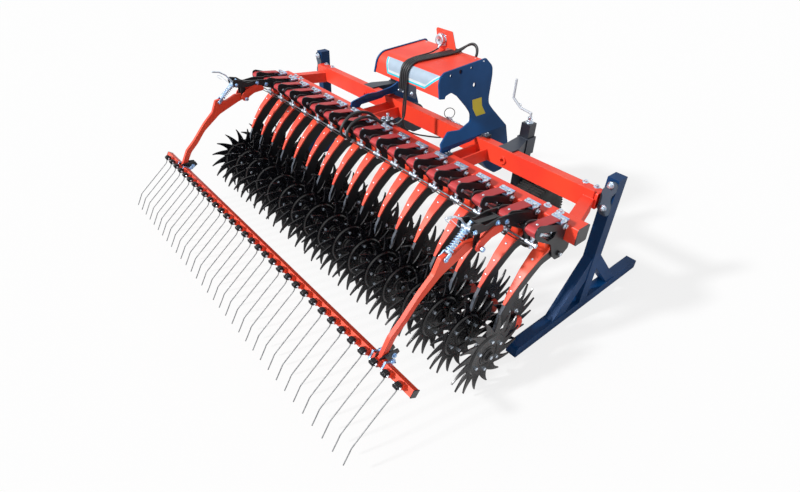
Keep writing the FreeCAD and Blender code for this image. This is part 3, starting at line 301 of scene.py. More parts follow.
def cheek_plate_highlight(tree, place):
    """The plates that clamp each parking stand to the front beam; the grey given there is a
    painted highlight of the blue coat lit from behind.
    """
    behind = beyond(tree, place, ("Y", -1), 112.0)
    high = beyond(tree, place, ("Z", 1), 700.0)
    return node(tree, "ShaderNodeMath", {"operation": "MULTIPLY"},
                {0: behind, 1: high}).outputs[0]


def crank_rod(tree, place):
    """The bent rod that stands out of a gauge leg."""
    return beyond(tree, place, ("Z", 1), 957.5)


# beams and hood: even warm red with a soft half gloss
RED = powder_coat("powder_coat_signal_red", "#F2482E", "#EC3C28", "#A8503C", 0.4)
# the same red, and dull black plugs of moulded polyethylene in the tube's ends
RED_CAPPED = powder_coat("powder_coat_red_with_end_plugs", "#F2482E", "#EC3C28", "#A8503C",
                         0.4, [(past_beam_end, "#3C3B3D")])
# the strips and the harrow are coated thicker and shine more in the light
RED_THICK = powder_coat("powder_coat_thick_red", "#EE4A24", "#E43C1E", "#B0604C", 0.46,
                        shine=0.7)
# folded covers: a darker, more purplish crimson than the beams, hardly any gloss
RED_COVER = powder_coat("powder_coat_dark_crimson", "#BE363A", "#B02E33", "#83484A", 0.5)
# headstock: deep saturated blue, satin
BLUE = powder_coat("powder_coat_night_blue", "#004884", "#003C6E", "#104A74", 0.5, shine=0.25)
# stands: the headstock's blue made darker as painted shade, with grey on the cheek plates as
# painted highlight
STAND_COAT = powder_coat("powder_coat_night_blue_stand_painted_light", "#003C70", "#002E58", "#1C4464", 0.5,
                         [(cheek_plate_highlight, "#465260")], 0.25)
# brackets of the gauge wheels and links: blue-grey, satin
GREY = powder_coat("powder_coat_anthracite", "#323A47", "#272D39", "#4C535F", 0.42)
# arm and harrow brackets, arms and legs: near black; on the brackets and arms the dark coat is
# made darker still as painted shade, the arms' rear-facing lower faces take a grey painted
# highlight, and the cranks are bare
BLACK_WITH_PAINTED_SHADE = powder_coat("powder_coat_black", "#14161C", "#101217", "#33363D", 0.4)
# arms: near black as painted shade, grey painted highlight on the rear-facing faces low down, red
# on the lugs
ARM_COAT = powder_coat("powder_coat_arm_painted_shade_and_highlight", "#14161B", "#101217", "#33363D", 0.4,
                       [(arm_nose_highlight, "#4E545E"), (lug_ahead, "#F2482E")])
LEG_COAT = powder_coat("powder_coat_black_leg", "#1A202C", "#151A24", "#3E4553", 0.38,
                       [(crank_rod, "#B9BFC8")])
# bolts and fittings shine white, clamp plates pale blue, and the pipes stay dull
ZINC = zinc_plate("zinc_plated_steel", "#DCE5EF", "#B9C7D6", 0.26)
ZINC_BLUE = zinc_plate("blue_zinc_plate", "#B6D5F4", "#92B8E2", 0.34)
ZINC_DULL = zinc_plate("dull_zinc_pipe", "#8A8F97", "#5C6168", 0.42)
# stars: glossy black with greyer, rougher tips
STAR_FRONT = star_steel("black_forged_steel_front", AXLE_Y_FRONT)
STAR_REAR = star_steel("black_forged_steel_rear", AXLE_Y_REAR)
# tyres: dull black; coils: shiny black; fingers: grey; hoses: black with a faint weave
RUBBER = tyre_rubber("tyre_rubber")
COIL_WIRE = spring_wire("black_spring_wire", "#101115", "#1E2026", 0.3, 0.2)
FINGER_WIRE = spring_wire("bare_spring_wire", "#8E9092", "#6E7073", 0.45, 0.2)
HOSE = hose_cover("hose_cover_rubber")
# printed vinyl: even and satin
SILVER_FILM = film("silver_decal_film", "#A3B6C8", 0.5)
WHITE_FILM = film("white_decal_film", "#D4DADD", 0.5)
CYAN_FILM = film("cyan_decal_film", "#0CC4D6", 0.5)
YELLOW_FILM = film("yellow_label_film", "#D8C32A", 0.5)

FINISHES = {"red_paint": RED, "dark_paint": GREY, "zinc_steel": ZINC, "tyre": RUBBER,
            "spring_steel": COIL_WIRE, "hose_rubber": HOSE}
OWN_FINISH = {"rear_beam": RED_CAPPED, "arm_covers": RED_COVER, "arms": ARM_COAT,
              "arm_backs": RED_THICK, "harrow_frame": RED_THICK, "arm_brackets": BLACK_WITH_PAINTED_SHADE,
              "harrow_brackets": BLACK_WITH_PAINTED_SHADE, "headstock_plates": BLUE, "parking_stands": STAND_COAT,
              "gauge_leg_right": LEG_COAT, "gauge_leg_left": LEG_COAT,
              "clamp_plates": ZINC_BLUE}
slots = {part["node"]: part["material_slot"] for part in frame["record"]["subparts"]}


def clad(name):
    """Gives a CAD node its finish."""
    if name.startswith("star_"):
        material = STAR_FRONT if "front" in name else STAR_REAR
    else:
        material = OWN_FINISH.get(name, FINISHES.get(slots[name]))
    mesh = frame["nodes"][name].data
    mesh.materials.clear()
    mesh.materials.append(material)


for name in frame["nodes"]:
    clad(name)


# ---------------------------------------------------------------- mesh kit
# Pieces are drawn in millimetres off the datum and turned to metres as they are finished.
def turned(bm, start, axis, profile, sides=20, material=0, ring=False):
    """Solid of (distance, radius) pairs along an axis; 6 sides make a hexagon.

    A ring's profile closes on itself and leaves the bore open.
    """
    axis = Vector(axis).normalized()
    side = axis.orthogonal().normalized()
    across = axis.cross(side)
    rows = []
    for distance, radius in profile:
        middle = Vector(start) + axis * distance
        rows.append([bm.verts.new(middle + (side * math.cos(2 * math.pi * k / sides)
                                            + across * math.sin(2 * math.pi * k / sides))
                                  * radius) for k in range(sides)])
    faces = []
    if ring:
        rows.append(rows[0])
    else:
        faces += [bm.faces.new(reversed(rows[0])), bm.faces.new(rows[-1])]
    for near, far in zip(rows, rows[1:]):
        for k in range(sides):
            faces.append(bm.faces.new((near[k], near[(k + 1) % sides],
                                       far[(k + 1) % sides], far[k])))
    for face in faces:
        face.material_index = material
        face.smooth = True


def rod(bm, start, stop, radius, sides=12, material=0):
    """Round bar with eased ends."""
    way = Vector(stop) - Vector(start)
    ease = min(radius * 0.25, 1.5)
    turned(bm, start, way, [(0, radius - ease), (ease, radius), (way.length - ease, radius),
                            (way.length, radius - ease)], sides, material)


def slab(bm, axis, outline, low, high, material=0):
    """Plate of an outline: axis x takes (y, z) points, y takes (x, z), and z takes (x, y)."""
    spot = "xyz".index(axis)
    sheets = []
    for level in (low, high):
        corners = []
        for point in outline:
            place = list(point)
            place.insert(spot, level)
            corners.append(bm.verts.new(place))
        sheets.append(corners)
    count = len(outline)
    faces = [bm.faces.new(sheets[0]), bm.faces.new(list(reversed(sheets[1])))]
    for k in range(count):
        faces.append(bm.faces.new((sheets[0][k], sheets[1][k], sheets[1][(k + 1) % count],
                                   sheets[0][(k + 1) % count])))
    for face in faces:
        face.material_index = material


def box(bm, low, high, material=0):
    """Rectangular block between two corners."""
    outline = [(low[1], low[2]), (high[1], low[2]), (high[1], high[2]), (low[1], high[2])]
    slab(bm, "x", outline, low[0], high[0], material)


def hex_bolt(bm, seat, axis, flats, washer=True, material=0):
    """Hexagon head with its washer, standing on a seat."""
    axis = Vector(axis).normalized()
    across = flats / math.sqrt(3)
    seat = Vector(seat)
    if washer:
        turned(bm, seat, axis, [(-1, flats), (1.6, flats), (2.4, flats * 0.96)], 20, material)
        seat = seat + axis * 2.4
    high = flats * 0.62
    turned(bm, seat, axis, [(-1, across), (high * 0.84, across), (high, across * 0.84)], 6,
           material)


def stud_nut(bm, seat, axis, flats, material=0):
    """Nut on a washer with the stud's end standing out of it."""
    hex_bolt(bm, seat, axis, flats, True, material)
    turned(bm, seat, axis, [(flats * 0.5, flats * 0.3), (flats * 0.92, flats * 0.3),
                            (flats * 1.0, flats * 0.24)], 12, material)


def button(bm, seat, axis, radius, material=0):
    """Low domed head."""
    turned(bm, seat, axis, [(-1, radius), (radius * 0.2, radius), (radius * 0.45, radius * 0.8),
                            (radius * 0.6, radius * 0.35)], 16, material)


def finish(name, bm, materials, body="frame", ease=0.0, place=None):
    """Turns a drawing into a piece that rides on a body."""
    bmesh.ops.recalc_face_normals(bm, faces=bm.faces)
    mesh = bpy.data.meshes.new(name)
    bm.to_mesh(mesh)
    bm.free()
    mesh.transform((place or Matrix.Translation(DATUM)) @ Matrix.Scale(MM, 4))
    mesh.set_sharp_from_angle(angle=math.radians(35))
    for material in materials:
        mesh.materials.append(material)
    piece = bpy.data.objects.new(name, mesh)
    bpy.context.collection.objects.link(piece)
    if ease:
        edges = piece.modifiers.new("eased_edges", "BEVEL")
        edges.width = ease * MM
        edges.segments = 2
        edges.limit_method = "ANGLE"
        edges.angle_limit = math.radians(40)
    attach(piece, body)
    return piece


def wire(name, routes, radius, materials, slot, body="frame", closed=False):
    """Round wires or pipes along smooth lines; a route may come with its material's number."""
    data = bpy.data.curves.new(name, "CURVE")
    data.dimensions = "3D"
    data.bevel_depth = radius * MM
    data.bevel_resolution = 3
    data.use_fill_caps = True
    data.resolution_u = 6
    for material in materials:
        data.materials.append(material)
    for route in routes:
        number, points = route if isinstance(route[0], int) else (0, route)
        line = data.splines.new("NURBS")
        line.points.add(len(points) - 1)
        for spot, point in zip(line.points, points):
            spot.co = (*at(*point), 1.0)
        line.order_u = 3
        line.use_endpoint_u = not closed
        line.use_cyclic_u = closed
        line.material_index = number
    piece = bpy.data.objects.new(name, data)
    bpy.context.collection.objects.link(piece)
    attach(piece, body)
    return piece


def weld(name, seams, radius, material, body="frame"):
    """Rippled weld beads between pairs of points."""
    data = bpy.data.curves.new(name, "CURVE")
    data.dimensions = "3D"
    data.bevel_depth = radius * MM
    data.bevel_resolution = 1
    data.use_fill_caps = True
    for start, stop in seams:
        start, stop = Vector(start), Vector(stop)
        count = max(3, int((stop - start).length / 7))
        bead = data.splines.new("POLY")
        bead.points.add(count)
        for k, spot in enumerate(bead.points):
            spot.co = (*at(*start.lerp(stop, k / count)), 1.0)
            spot.radius = 1.0 if k % 2 else 0.78
    data.materials.append(material)
    piece = bpy.data.objects.new(name, data)
    bpy.context.collection.objects.link(piece)
    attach(piece, body)
    return piece


# ---------------------------------------------------------------- hydraulic lines
HOSE_RADIUS = 7.5
HOSE_PITCH = 18.0
FEED_RADIUS = 10.0
CABLE_RADIUS = 5.0


def hood_hose(index):
    """Route of one of the hoses over the hood, from its front edge to the rear beam.

    The first two rise in a loop ahead of the hood, and only the first reaches the valve block.
    """
    shift = -HOSE_PITCH * index
    x = 92 + shift
    if index < 2:
        y, z, back = 16 * index, -10 * index, -18 * index
        ahead = [(164 + back, 231.5, 1184), (166 + back, 264 + y / 2, 1200),
                 (190 + back, 274 + y, 1236), (208 + back, 280 + y, 1282 + z),
                 (194 + back, 290 + y, 1326 + z), (152 + back, 294 + y, 1340 + z),
                 (113 + back, 284 + y, 1322 + z), (93 + shift, 254, 1292 + z / 3)]
    else:
        ahead = [(x + 36, 231.5, 1184), (x + 31, 260, 1184), (x + 24, 289, 1213),
                 (x + 12, 289, 1253), (x + 4, 260, 1283), (x, 219, 1280.5)]
    x = 20 + shift
    over = [(92 + shift, 192, 1278.5), (x + 17, -60, 1262.5), (x + 13, -103, 1260),
            (x + 5, -139.5, 1237), (x, -160.5, 1199.5), (x, -161, 1156)]
    if index > 0:
        return ahead + over + [(x, -161, 1080.7)]
    return ahead + over + [(x + 1, -163, 1040), (x + 1, -168, 935), (x + 2, -180, 892),
                           (x - 14, -206, 864), (x - 42, -224, 848), (-49.5, -226, 848)]


# routes of the two hoses from the valve block to the cross pipes
FEEDS = [[(-100, -262.3, 852), (-100, -284, 852), (-116, -345, 925), (-124, -425, 955),
          (-125, -508, 950), (-125, -566, 908), (-127, -592, 858), (-128, -570, 812),
          (-128, -528.5, 793)],
         [(-70, -262.3, 852), (-70, -284, 852), (-75, -345, 902), (-79, -420, 934),
          (-82, -500, 928), (-80, -562, 888), (-76, -580, 842), (-70, -557, 806),
          (-66, -528.5, 793)]]


def hose(name, route, radius, replaced=()):
    """Hose along its route with its thickness; it hides the nodes that it replaces."""
    piece = wire(name, [route], radius, [HOSE], "hose_rubber")
    if replaced:
        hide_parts(*replaced)


for number, length in enumerate((1.1577, 0.874, 0.7188, 0.7188)):
    hose("hood_hose_%d" % (number + 1), hood_hose(number), HOSE_RADIUS,
         ["hydraulic_lines"])
for number, length in enumerate((0.495, 0.4483)):
    hose("feed_hose_%d" % (number + 1), FEEDS[number], FEED_RADIUS,
         ["hydraulic_lines"])
hose("socket_cable", [(-24, 146, 1289), (-30, 108, 1273), (-24, 40, 1270), (-34, -112, 1262),
                      (-49, -160, 1213), (-49, -162, 1083)], CABLE_RADIUS)
hose("lighting_cable", [(4, -160, 1060), (5, -174, 960), (12, -176, 870), (30, -168, 812),
                        (70, -110, 780), (112, -10, 752), (150, 62, 737), (176, 116, 744)],
     CABLE_RADIUS)


def valve_block():
    """Manifold on the rear beam with its plugs, check valves and hose ends."""
    bm = bmesh.new()
    box(bm, (-122, -262, 826), (-50, -190, 870), 1)
    for x, y in ((-108, -246), (-64, -246), (-64, -206)):
        hex_bolt(bm, (x, y, 870), Z, 14)
    turned(bm, (-104, -212, 870), Z, [(-1, 12), (6, 12), (7, 9), (18, 9), (20, 11), (27, 11),
                                      (29, 7)], 20)
    turned(bm, (-86, -228, 870), Z, [(-1, 9), (10, 9), (10.5, 7), (16, 7)], 6)
    turned(bm, (-50, -226, 848), X, [(-1, 12), (8, 12)], 6)
    turned(bm, (-50, -226, 848), X, [(7, 9), (30, 9), (31, 8)], 20)
    for x in (-100, -70):
        turned(bm, (x, -262, 852), -Y, [(-1, 14), (9, 14)], 6)
        turned(bm, (x, -262, 852), -Y, [(8, 11.6), (24, 11.6), (25, 10.5)], 20)
    for route in FEEDS:
        end, before = Vector(route[-1]), Vector(route[-2])
        turned(bm, end, before - end, [(-1, 11.8), (22, 11.8), (23, 10.6)], 20)
    finish("valve_block", bm, [ZINC, GREY], ease=1.0)


def cross_pipes():
    """Rigid pipes from union to union, with a thin return pipe beside them."""
    runs = [[(left + 22, -519, 792), ((left + right) / 2, -519, 792), (right - 22, -519, 792)]
            for left, right in zip(ARM_XS, ARM_XS[1:])]
    piece = wire("cross_pipes", runs, 5.0, [ZINC_DULL], "zinc_steel")
    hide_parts("hydraulic_lines")
    spots = [(x + ARM_PITCH / 2 * half, -531 - 2 * half, 784 - 5 * half + 2 * (k % 3))
             for k, x in enumerate(ARM_XS) for half in (0, 1)]
    wire("return_pipe", [spots[:-1]], 3.0, [HOSE], "hose_rubber")


def unions():
    """Hexagons and nipples of the union at each arm."""
    bm = bmesh.new()
    for x in ARM_XS:
        for side in (-1, 1):
            turned(bm, (x + side * 20, -519, 792), X * side, [(0, 13), (11, 13)], 6)
        turned(bm, (x, -519, 799), Z, [(0, 12), (10, 12)], 6)
        turned(bm, (x, -512, 818), Z, [(0, 13), (13, 13), (15, 9.5), (22, 9.5)], 6)
        turned(bm, (x, -519, 782), -Z, [(0, 11), (10, 11), (12, 8), (18, 8)], 6)
        turned(bm, (x, -505, 826), (0, 36, 14), [(0, 9), (18, 9)], 6)
    finish("unions", bm, [ZINC], ease=0.6)


valve_block()
cross_pipes()
unions()


# ---------------------------------------------------------------- arm stations
def arm_fasteners():
    """Bolts of the clamp plates, covers, side plates and strips on the seventeen arms."""
    bm = bmesh.new()
    for x in ARM_XS:
        hex_bolt(bm, (x - 21, -312, 862), Z, 22)
        hex_bolt(bm, (x + 26, -322, 862), Z, 22)
        button(bm, (x, -503, 896.6), Z, 7)
        for side in (-1, 1):
            hex_bolt(bm, (x + side * 36, -296, 821), X * side, 19)
            hex_bolt(bm, (x + side * 46, -300, 654), X * side, 19, False)
            turned(bm, (x + side * 36, -513, 863), X * side,
                   [(-1, 10), (3, 10), (3.2, 6), (5, 6), (5.2, 9), (7, 8)], 20)
            turned(bm, (x + side * 36, -425, 838), X * side, [(-1, 5), (4, 5), (5, 4)], 12)
        for spot, lean in (((x, -472, 673), (0, -0.66, 0.75)),
                           ((x, -550, 597.4), (0, -0.78, 0.63)),
                           ((x, -604, 529.5), (0, -0.86, 0.50))):
            button(bm, spot, lean, 6.5)
    finish("arm_fasteners", bm, [ZINC], ease=0.6)


def arm_welds():
    """Beads down both edges of the strips on the arms."""
    seams = []
    for x in ARM_XS:
        for side in (-1, 1):
            seams.append(((x + side * 25, -441, 683), (x + side * 17, -523, 611)))
            seams.append(((x + side * 17, -523, 611), (x + side * 11, -592, 527)))
    weld("arm_welds", seams, 2.5, ARM_COAT)


arm_fasteners()
arm_welds()


# ---------------------------------------------------------------- stars
# of each row: its side of the carrier, axle, turn from star to star in degrees, the star that
# the turn is counted from, the turn there, and its steel
STAR_ROWS = {"front": (-1, AXLE_Y_FRONT, 9.1, 17, -1.0, STAR_FRONT),
             "rear": (1, AXLE_Y_REAR, 7.72, 1, -10.7, STAR_REAR)}
CARRIER_SHIFT = 17.5
HALF_TRACK = ARM_PITCH / 4
BOLT_CIRCLE = 93.0
FIRST_BOLT = 29.2


def star_dress(number, row):
    """Six through bolts and the hub's dust cap of one star, on the star's own body."""
    side, axle_y, step, counted_from, start, steel = STAR_ROWS[row]
    bm = bmesh.new()
    for k in range(6):
        angle = math.radians(FIRST_BOLT + 60 * k)
        spot = Vector((0, math.cos(angle), math.sin(angle))) * BOLT_CIRCLE
        hex_bolt(bm, spot + X * 12 * side, X * side, 17, False)
        stud_nut(bm, spot - X * 4 * side, -X * side, 14)
    turned(bm, X * 20 * side, X * side, [(0, 30), (5, 30), (6, 27), (12, 27), (14, 24)], 28, 1)
    turned(bm, X * 33 * side, X * side, [(0, 11), (5, 11), (6, 9.5)], 6)
    centre = at(ARM_XS[number - 1] + CARRIER_SHIFT + HALF_TRACK * side, axle_y, AXLE_Z)
    turn = Matrix.Rotation(math.radians(step * (number - counted_from) + start), 4, "X")
    body = "star_%s_%02d" % (row, number)
    finish("dress_" + body, bm, [ZINC, steel], body, 0.5,
           Matrix.Translation(centre) @ turn)


for number in range(1, len(ARM_XS) + 1):
    star_dress(number, "front")
    star_dress(number, "rear")


# ---------------------------------------------------------------- main frame
def frame_fasteners():
    """Bolts of the beams, the stands' cheeks and the headstock's feet."""
    bm = bmesh.new()
    for x in (1242, 1314, -1280, -1379):
        hex_bolt(bm, (x, 132, 852), Z, 19)
    for x in (1321, 1241, -1241, -1321):
        hex_bolt(bm, (x, -212, 826), Z, 22)
    for x in (1398, -1457):
        for z in (911, 767):
            turned(bm, (x, 104, z), -Y, [(-1, 20), (2.5, 20), (3, 19)], 28)
            hex_bolt(bm, (x, 101.5, z), -Y, 26, False)
            turned(bm, (x, 101.5, z), -Y, [(15, 8), (22, 8), (23.5, 7)], 16)
    for x in (1302, 1250, -1250, -1302):
        button(bm, (x, 70, 762), -Y, 7)
    for side in (-1, 1):
        for y in (-228, -200):
            hex_bolt(bm, (side * 488, y, 834), Z, 15, False)
        for y in (126, 150):
            hex_bolt(bm, (side * 500, y - 14, 874), Z, 13, False)
        for x in (234, 305):
            button(bm, (side * x, 236, 1271.6), Z, 6)
    finish("frame_fasteners", bm, [ZINC], ease=0.8)


def headstock_clamps():
    """Blocks that hold the headstock's feet down on both beams."""
    bm = bmesh.new()
    for side in (-1, 1):
        low, high = sorted((side * 474, side * 512))
        box(bm, (low, -240, 826), (high, -188, 834))
        low, high = sorted((side * 474, side * 524))
        box(bm, (low, 100, 862), (high, 149, 874))
        box(bm, (low, 138, 852), (high, 149, 862))
    finish("headstock_clamps", bm, [GREY], ease=2.5)


def frame_welds():
    """Beads where the cross members, bosses and stand braces meet the beams and posts."""
    seams = []
    for side in (-1, 1):
        seams.append(((side * 1354, -181, 816), (side * 1426, -181, 816)))
        seams.append(((side * 1280, 58, 816), (side * 1352, 58, 816)))
    for x in (-437, -425, -321, -309, 473, 485, 563, 575):
        seams.append(((x, -181, 736), (x, -181, 816)))
        seams.append(((x, 58, 736), (x, 58, 816)))
    weld("frame_welds", seams, 3.5, RED)
    seams = []
    for x in (1398, -1457):
        for side in (-1, 1):
            edge = x + side * 30
            seams.append(((edge, 116, 428), (edge, 116, 262)))
            seams.append(((edge, 199, 418), (edge, 199, 318)))
            seams.append(((edge, -36, 70), (edge, -157, 70)))
            seams.append(((edge, 438, 70), (edge, 532, 70)))
        seams.append(((x - 30, 116, 430), (x + 30, 116, 430)))
        seams.append(((x - 30, 199, 420), (x + 30, 199, 420)))
    weld("stand_welds", seams, 3.5, STAND_COAT)


def hitch_chain():
    """Linch pin with its ring, kept on the front beam between the headstock's plates."""
    ring = [(168 + 24 * math.cos(0.5 * k), 112 + 28 * math.cos(0.5 * k),
             912 + 37 * math.sin(0.5 * k)) for k in range(12)]
    wire("linch_ring", [ring], 2.5, [COIL_WIRE], "zinc_steel", closed=True)
    links = []
    for k in range(9):
        x, tilt = 176 + 11 * k, k % 2
        links.append([(x - 8, 112 - 4 * tilt, 867), (x, 112 - 5 * tilt, 867 + 5 * (1 - tilt)),
                      (x + 8, 112 - 4 * tilt, 867), (x + 8, 112 + 4 * tilt, 866),
                      (x, 112 + 5 * tilt, 866 - 4 * (1 - tilt)), (x - 8, 112 + 4 * tilt, 866)])
    wire("keeper_chain", links, 2.0, [ZINC], "zinc_steel", closed=True)
    bm = bmesh.new()
    rod(bm, (150, 112, 874), (196, 112, 872), 9)
    turned(bm, (168, 112, 866), Z, [(0, 14), (8, 14), (12, 9), (18, 9)], 16)
    finish("linch_pin", bm, [ZINC], ease=0.5)


frame_fasteners()
headstock_clamps()
frame_welds()
hitch_chain()


# ---------------------------------------------------------------- hood
# outer line of the hood's rear roll, as (y, z)
ROLL = [(-151, 1136), (-151, 1148), (-150, 1164), (-149.4, 1181), (-146.5, 1198), (-139.6, 1214),
        (-129.4, 1228), (-121, 1235)]


def draped(bm, left, right, first, last, lift, material):
    """Film laid on the roll between two slanted edges, each (x at the foot, x at the head)."""
    rows = []
    for k in range(first, last):
        before, after = ROLL[max(k - 1, 0)], ROLL[min(k + 1, len(ROLL) - 1)]
        away = Vector((0, -(after[1] - before[1]), after[0] - before[0])).normalized()
        share = (ROLL[k][1] - ROLL[0][1]) / (ROLL[-1][1] - ROLL[0][1])
        y, z = ROLL[k][0] + away.y * lift, ROLL[k][1] + away.z * lift
        ends = [left[0] + share * (left[1] - left[0]), right[0] + share * (right[1] - right[0])]
        rows.append([bm.verts.new((ends[0] + (ends[1] - ends[0]) * n / 8, y, z))
                     for n in range(9)])
    for near, far in zip(rows, rows[1:]):
        for n in range(8):
            face = bm.faces.new((near[n], near[n + 1], far[n + 1], far[n]))
            face.material_index = material
            face.smooth = True


def hood_decal():
    """Plain silver band with a white and a cyan border on the hood's rear face."""
    bm = bmesh.new()
    draped(bm, (-190, -218), (180, 304), 0, 8, 0.6, 2)
    draped(bm, (-176, -203), (164, 284), 1, 8, 1.0, 1)
    draped(bm, (-169, -195), (156, 270), 2, 8, 1.4, 0)
    finish("hood_decal", bm, [SILVER_FILM, WHITE_FILM, CYAN_FILM])


# line of the right headstock plate, as (x, z) at its foot, its bend and its top
HEAD_LINE = [(461, 870), (342, 1000), (280, 1272)]
HEAD_THICKNESS = 12


def head_face(z):
    """Outer face of the right headstock plate at a height."""
    foot, bend, top = HEAD_LINE
    low, high = (foot, bend) if z <= bend[1] else (bend, top)
    share = (z - low[1]) / (high[1] - low[1])
    return low[0] + share * (high[0] - low[0]) + HEAD_THICKNESS


def yellow_label():
    """Blank yellow film on the right headstock plate, folded over its bend."""
    bm = bmesh.new()
    rows = [[bm.verts.new((head_face(z) + 0.7, y, z)) for y in (127, 157, 187, 217)]
            for z in (959, 980, 1000, 1026, 1053)]
    for near, far in zip(rows, rows[1:]):
        for k in range(3):
            bm.faces.new((near[k], near[k + 1], far[k + 1], far[k]))
    finish("yellow_label", bm, [YELLOW_FILM])


def socket():
    """Seven-pin trailer socket with its lid, lever and cable gland."""
    bm = bmesh.new()
    turned(bm, (-48, 206, 1333), -Y, [(0, 40), (4, 40), (5, 36), (26, 35), (27.5, 37),
                                      (32, 37), (34, 34), (34.2, 24), (33, 22)], 36)
    turned(bm, (-48, 178, 1333), -Y, [(0, 8), (4, 8), (5, 6)], 16)
    box(bm, (-62, 176, 1366), (-34, 200, 1376))
    rod(bm, (-64, 188, 1371), (-32, 188, 1371), 5)
    for x, z in ((-78, 1362), (-18, 1362), (-78, 1304), (-18, 1304)):
        hex_bolt(bm, (x, 205, z), -Y, 9, False)
    turned(bm, (-44, 190, 1308), Vector((20, -44, -19)),
           [(-4, 13), (10, 13), (12, 10), (26, 10), (28, 8), (50, 6.5)], 20)
    finish("trailer_socket", bm, [ZINC], ease=0.8)


def hose_hanger():
    """Clips of the hoses under the hood's rear edge and of the spare lines beside them."""
    bm = bmesh.new()
    slab(bm, "x", [(-153, 1128), (-149, 1128), (-149, 1046), (-153, 1046)], 24, 104, 0)
    turned(bm, (66, -153, 1072), -Y, [(-1, 14), (3, 14), (4, 12)], 24, 1)
    hex_bolt(bm, (66, -157, 1072), -Y, 13, False, 1)
    for x in (-40, 4):
        hex_bolt(bm, (x, -172, 1071), -Y, 11, False, 1)
    finish("hose_hanger", bm, [GREY, ZINC], ease=1.2)


hood_decal()
yellow_label()
socket()
hose_hanger()


# ---------------------------------------------------------------- gauge wheels and legs
TYRE_WIDTH = 215.0
TYRE_RADIUS = 230.0
TYRE_BARS = 60
GAUGE_Y = 335.0


def gauge_tyre(side):
    """Low-pressure tyre with barred tread on a dished rim, on the wheel's own body."""
    w, r = TYRE_WIDTH, TYRE_RADIUS
    x0, y, z = side * 710.0, GAUGE_Y, 350.0
    way = X * side
    bm = bmesh.new()
    turned(bm, (x0, y, z), way,
           [(20, 106), (12, 112), (6, 138), (1, 172), (4, 196), (16, 212), (34, 219),
            (70, 222), (w - 70, 222), (w - 34, 219), (w - 16, 212), (w - 4, 196),
            (w - 1, 172), (w - 6, 138), (w - 12, 112), (w - 20, 106)], 72, 0)
    for k in range(TYRE_BARS):
        for half in (0, 1):
            spin = Matrix.Rotation((2 * k + half) * math.pi / TYRE_BARS, 4, "X")
            low, high = (14, 104) if half else (w - 104, w - 14)
            start = len(bm.verts)
            slab(bm, "x", [(-6, 217), (6, 217), (4.5, r - 0.5), (-4.5, r - 0.5)], low, high, 0)
            bm.verts.ensure_lookup_table()
            for corner in bm.verts[start:]:
                corner.co.x *= side
                corner.co = spin @ corner.co + Vector((x0, y, z))
    turned(bm, (x0, y, z), way,
           [(24, 20), (24, 46), (46, 50), (50, 92), (26, 98), (17, 110), (w - 17, 110),
            (w - 26, 98), (w - 58, 92), (w - 52, 46), (w - 22, 42), (w - 22, 20)], 48, 1)
    for k in range(5):
        angle = 2 * math.pi * k / 5
        spot = Vector((x0, y, z)) + Vector((0, math.cos(angle), math.sin(angle))) * 70
        hex_bolt(bm, spot + way * (w - 56), way, 19, True, 2)
    name = "right" if side > 0 else "left"
    piece = finish("gauge_tyre_" + name, bm, [RUBBER, GREY, ZINC],
                   "gauge_wheel_" + name, 0.8)
    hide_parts("gauge_wheel_" + name)


def leg_details(side):
    """Flanged head of the height screw and the spring pin on one gauge leg."""
    bm = bmesh.new()
    x = side * 664
    turned(bm, (x, GAUGE_Y, 957), Z,
           [(0, 26), (4, 26), (5, 17), (14, 17), (16, 12), (40, 12), (42, 9)], 24)
    rod(bm, (x - 22, GAUGE_Y, 985), (x + 22, GAUGE_Y, 985), 3.5)
    name = "right" if side > 0 else "left"
    finish("leg_head_" + name, bm, [ZINC], "gauge_leg_" + name, 0.6)
    loop = [(x - side * (94 + 12 * math.sin(k)), GAUGE_Y, 1046 + 12 * math.cos(k))
            for k in range(6)]
    wire("leg_clip_" + name, [loop], 1.8, [ZINC], "zinc_steel", "gauge_leg_" + name, True)


for side in (-1, 1):
    gauge_tyre(side)
    leg_details(side)


# ---------------------------------------------------------------- harrow
COIL_STEPS = 40
COIL_RADIUS = 16.4
COIL_LENGTH = 26.0


def tine_routes(x):
    """Torsion coil of four turns and long finger of one tine."""
    coil = []
    for k in range(COIL_STEPS + 1):
        angle = math.radians(150 + 36 * k)
        coil.append((x + COIL_LENGTH * (k / COIL_STEPS - 0.5),
                     COIL_Y + COIL_RADIUS * math.cos(angle),
                     COIL_Z + COIL_RADIUS * math.sin(angle)))
    finger = [(x + 12, COIL_Y - 14, COIL_Z - 8), (x + 10, COIL_Y - 17, COIL_Z - 22),
              (x + 4, COIL_Y - 22, COIL_Z - 38), (x, COIL_Y - 80, COIL_Z - 87),
              (x, COIL_Y - 244, COIL_Z - 219), (x, COIL_Y - 258, COIL_Z - 232),
              (x, COIL_Y - 264, COIL_Z - 246), (x, COIL_Y - 304, COIL_Z - 313)]
    return [(0, coil), (1, finger)]


def tines():
    """Row of torsion tines with the core and bolt that hold each coil."""
    routes = [route for x in TINE_XS for route in tine_routes(x)]
    piece = wire("harrow_tine_wires", routes, 3.2, [COIL_WIRE, FINGER_WIRE], "spring_steel",
                 "harrow")
    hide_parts("harrow_tines")
    bm = bmesh.new()
    for x in TINE_XS:
        centre = Vector((x, COIL_Y, COIL_Z))
        turned(bm, centre - X * 18, X, [(0, 9), (2, 12), (34, 12), (36, 9)], 20, 0)
        hex_bolt(bm, centre + X * 18, X, 11, False, 1)
        hex_bolt(bm, centre - X * 18, -X, 11, False, 1)
    finish("harrow_tine_cores", bm, [COIL_WIRE, ZINC], "harrow", 0.6)


TILT = Matrix.Rotation(math.radians(-TUBE_TILT), 4, "X")


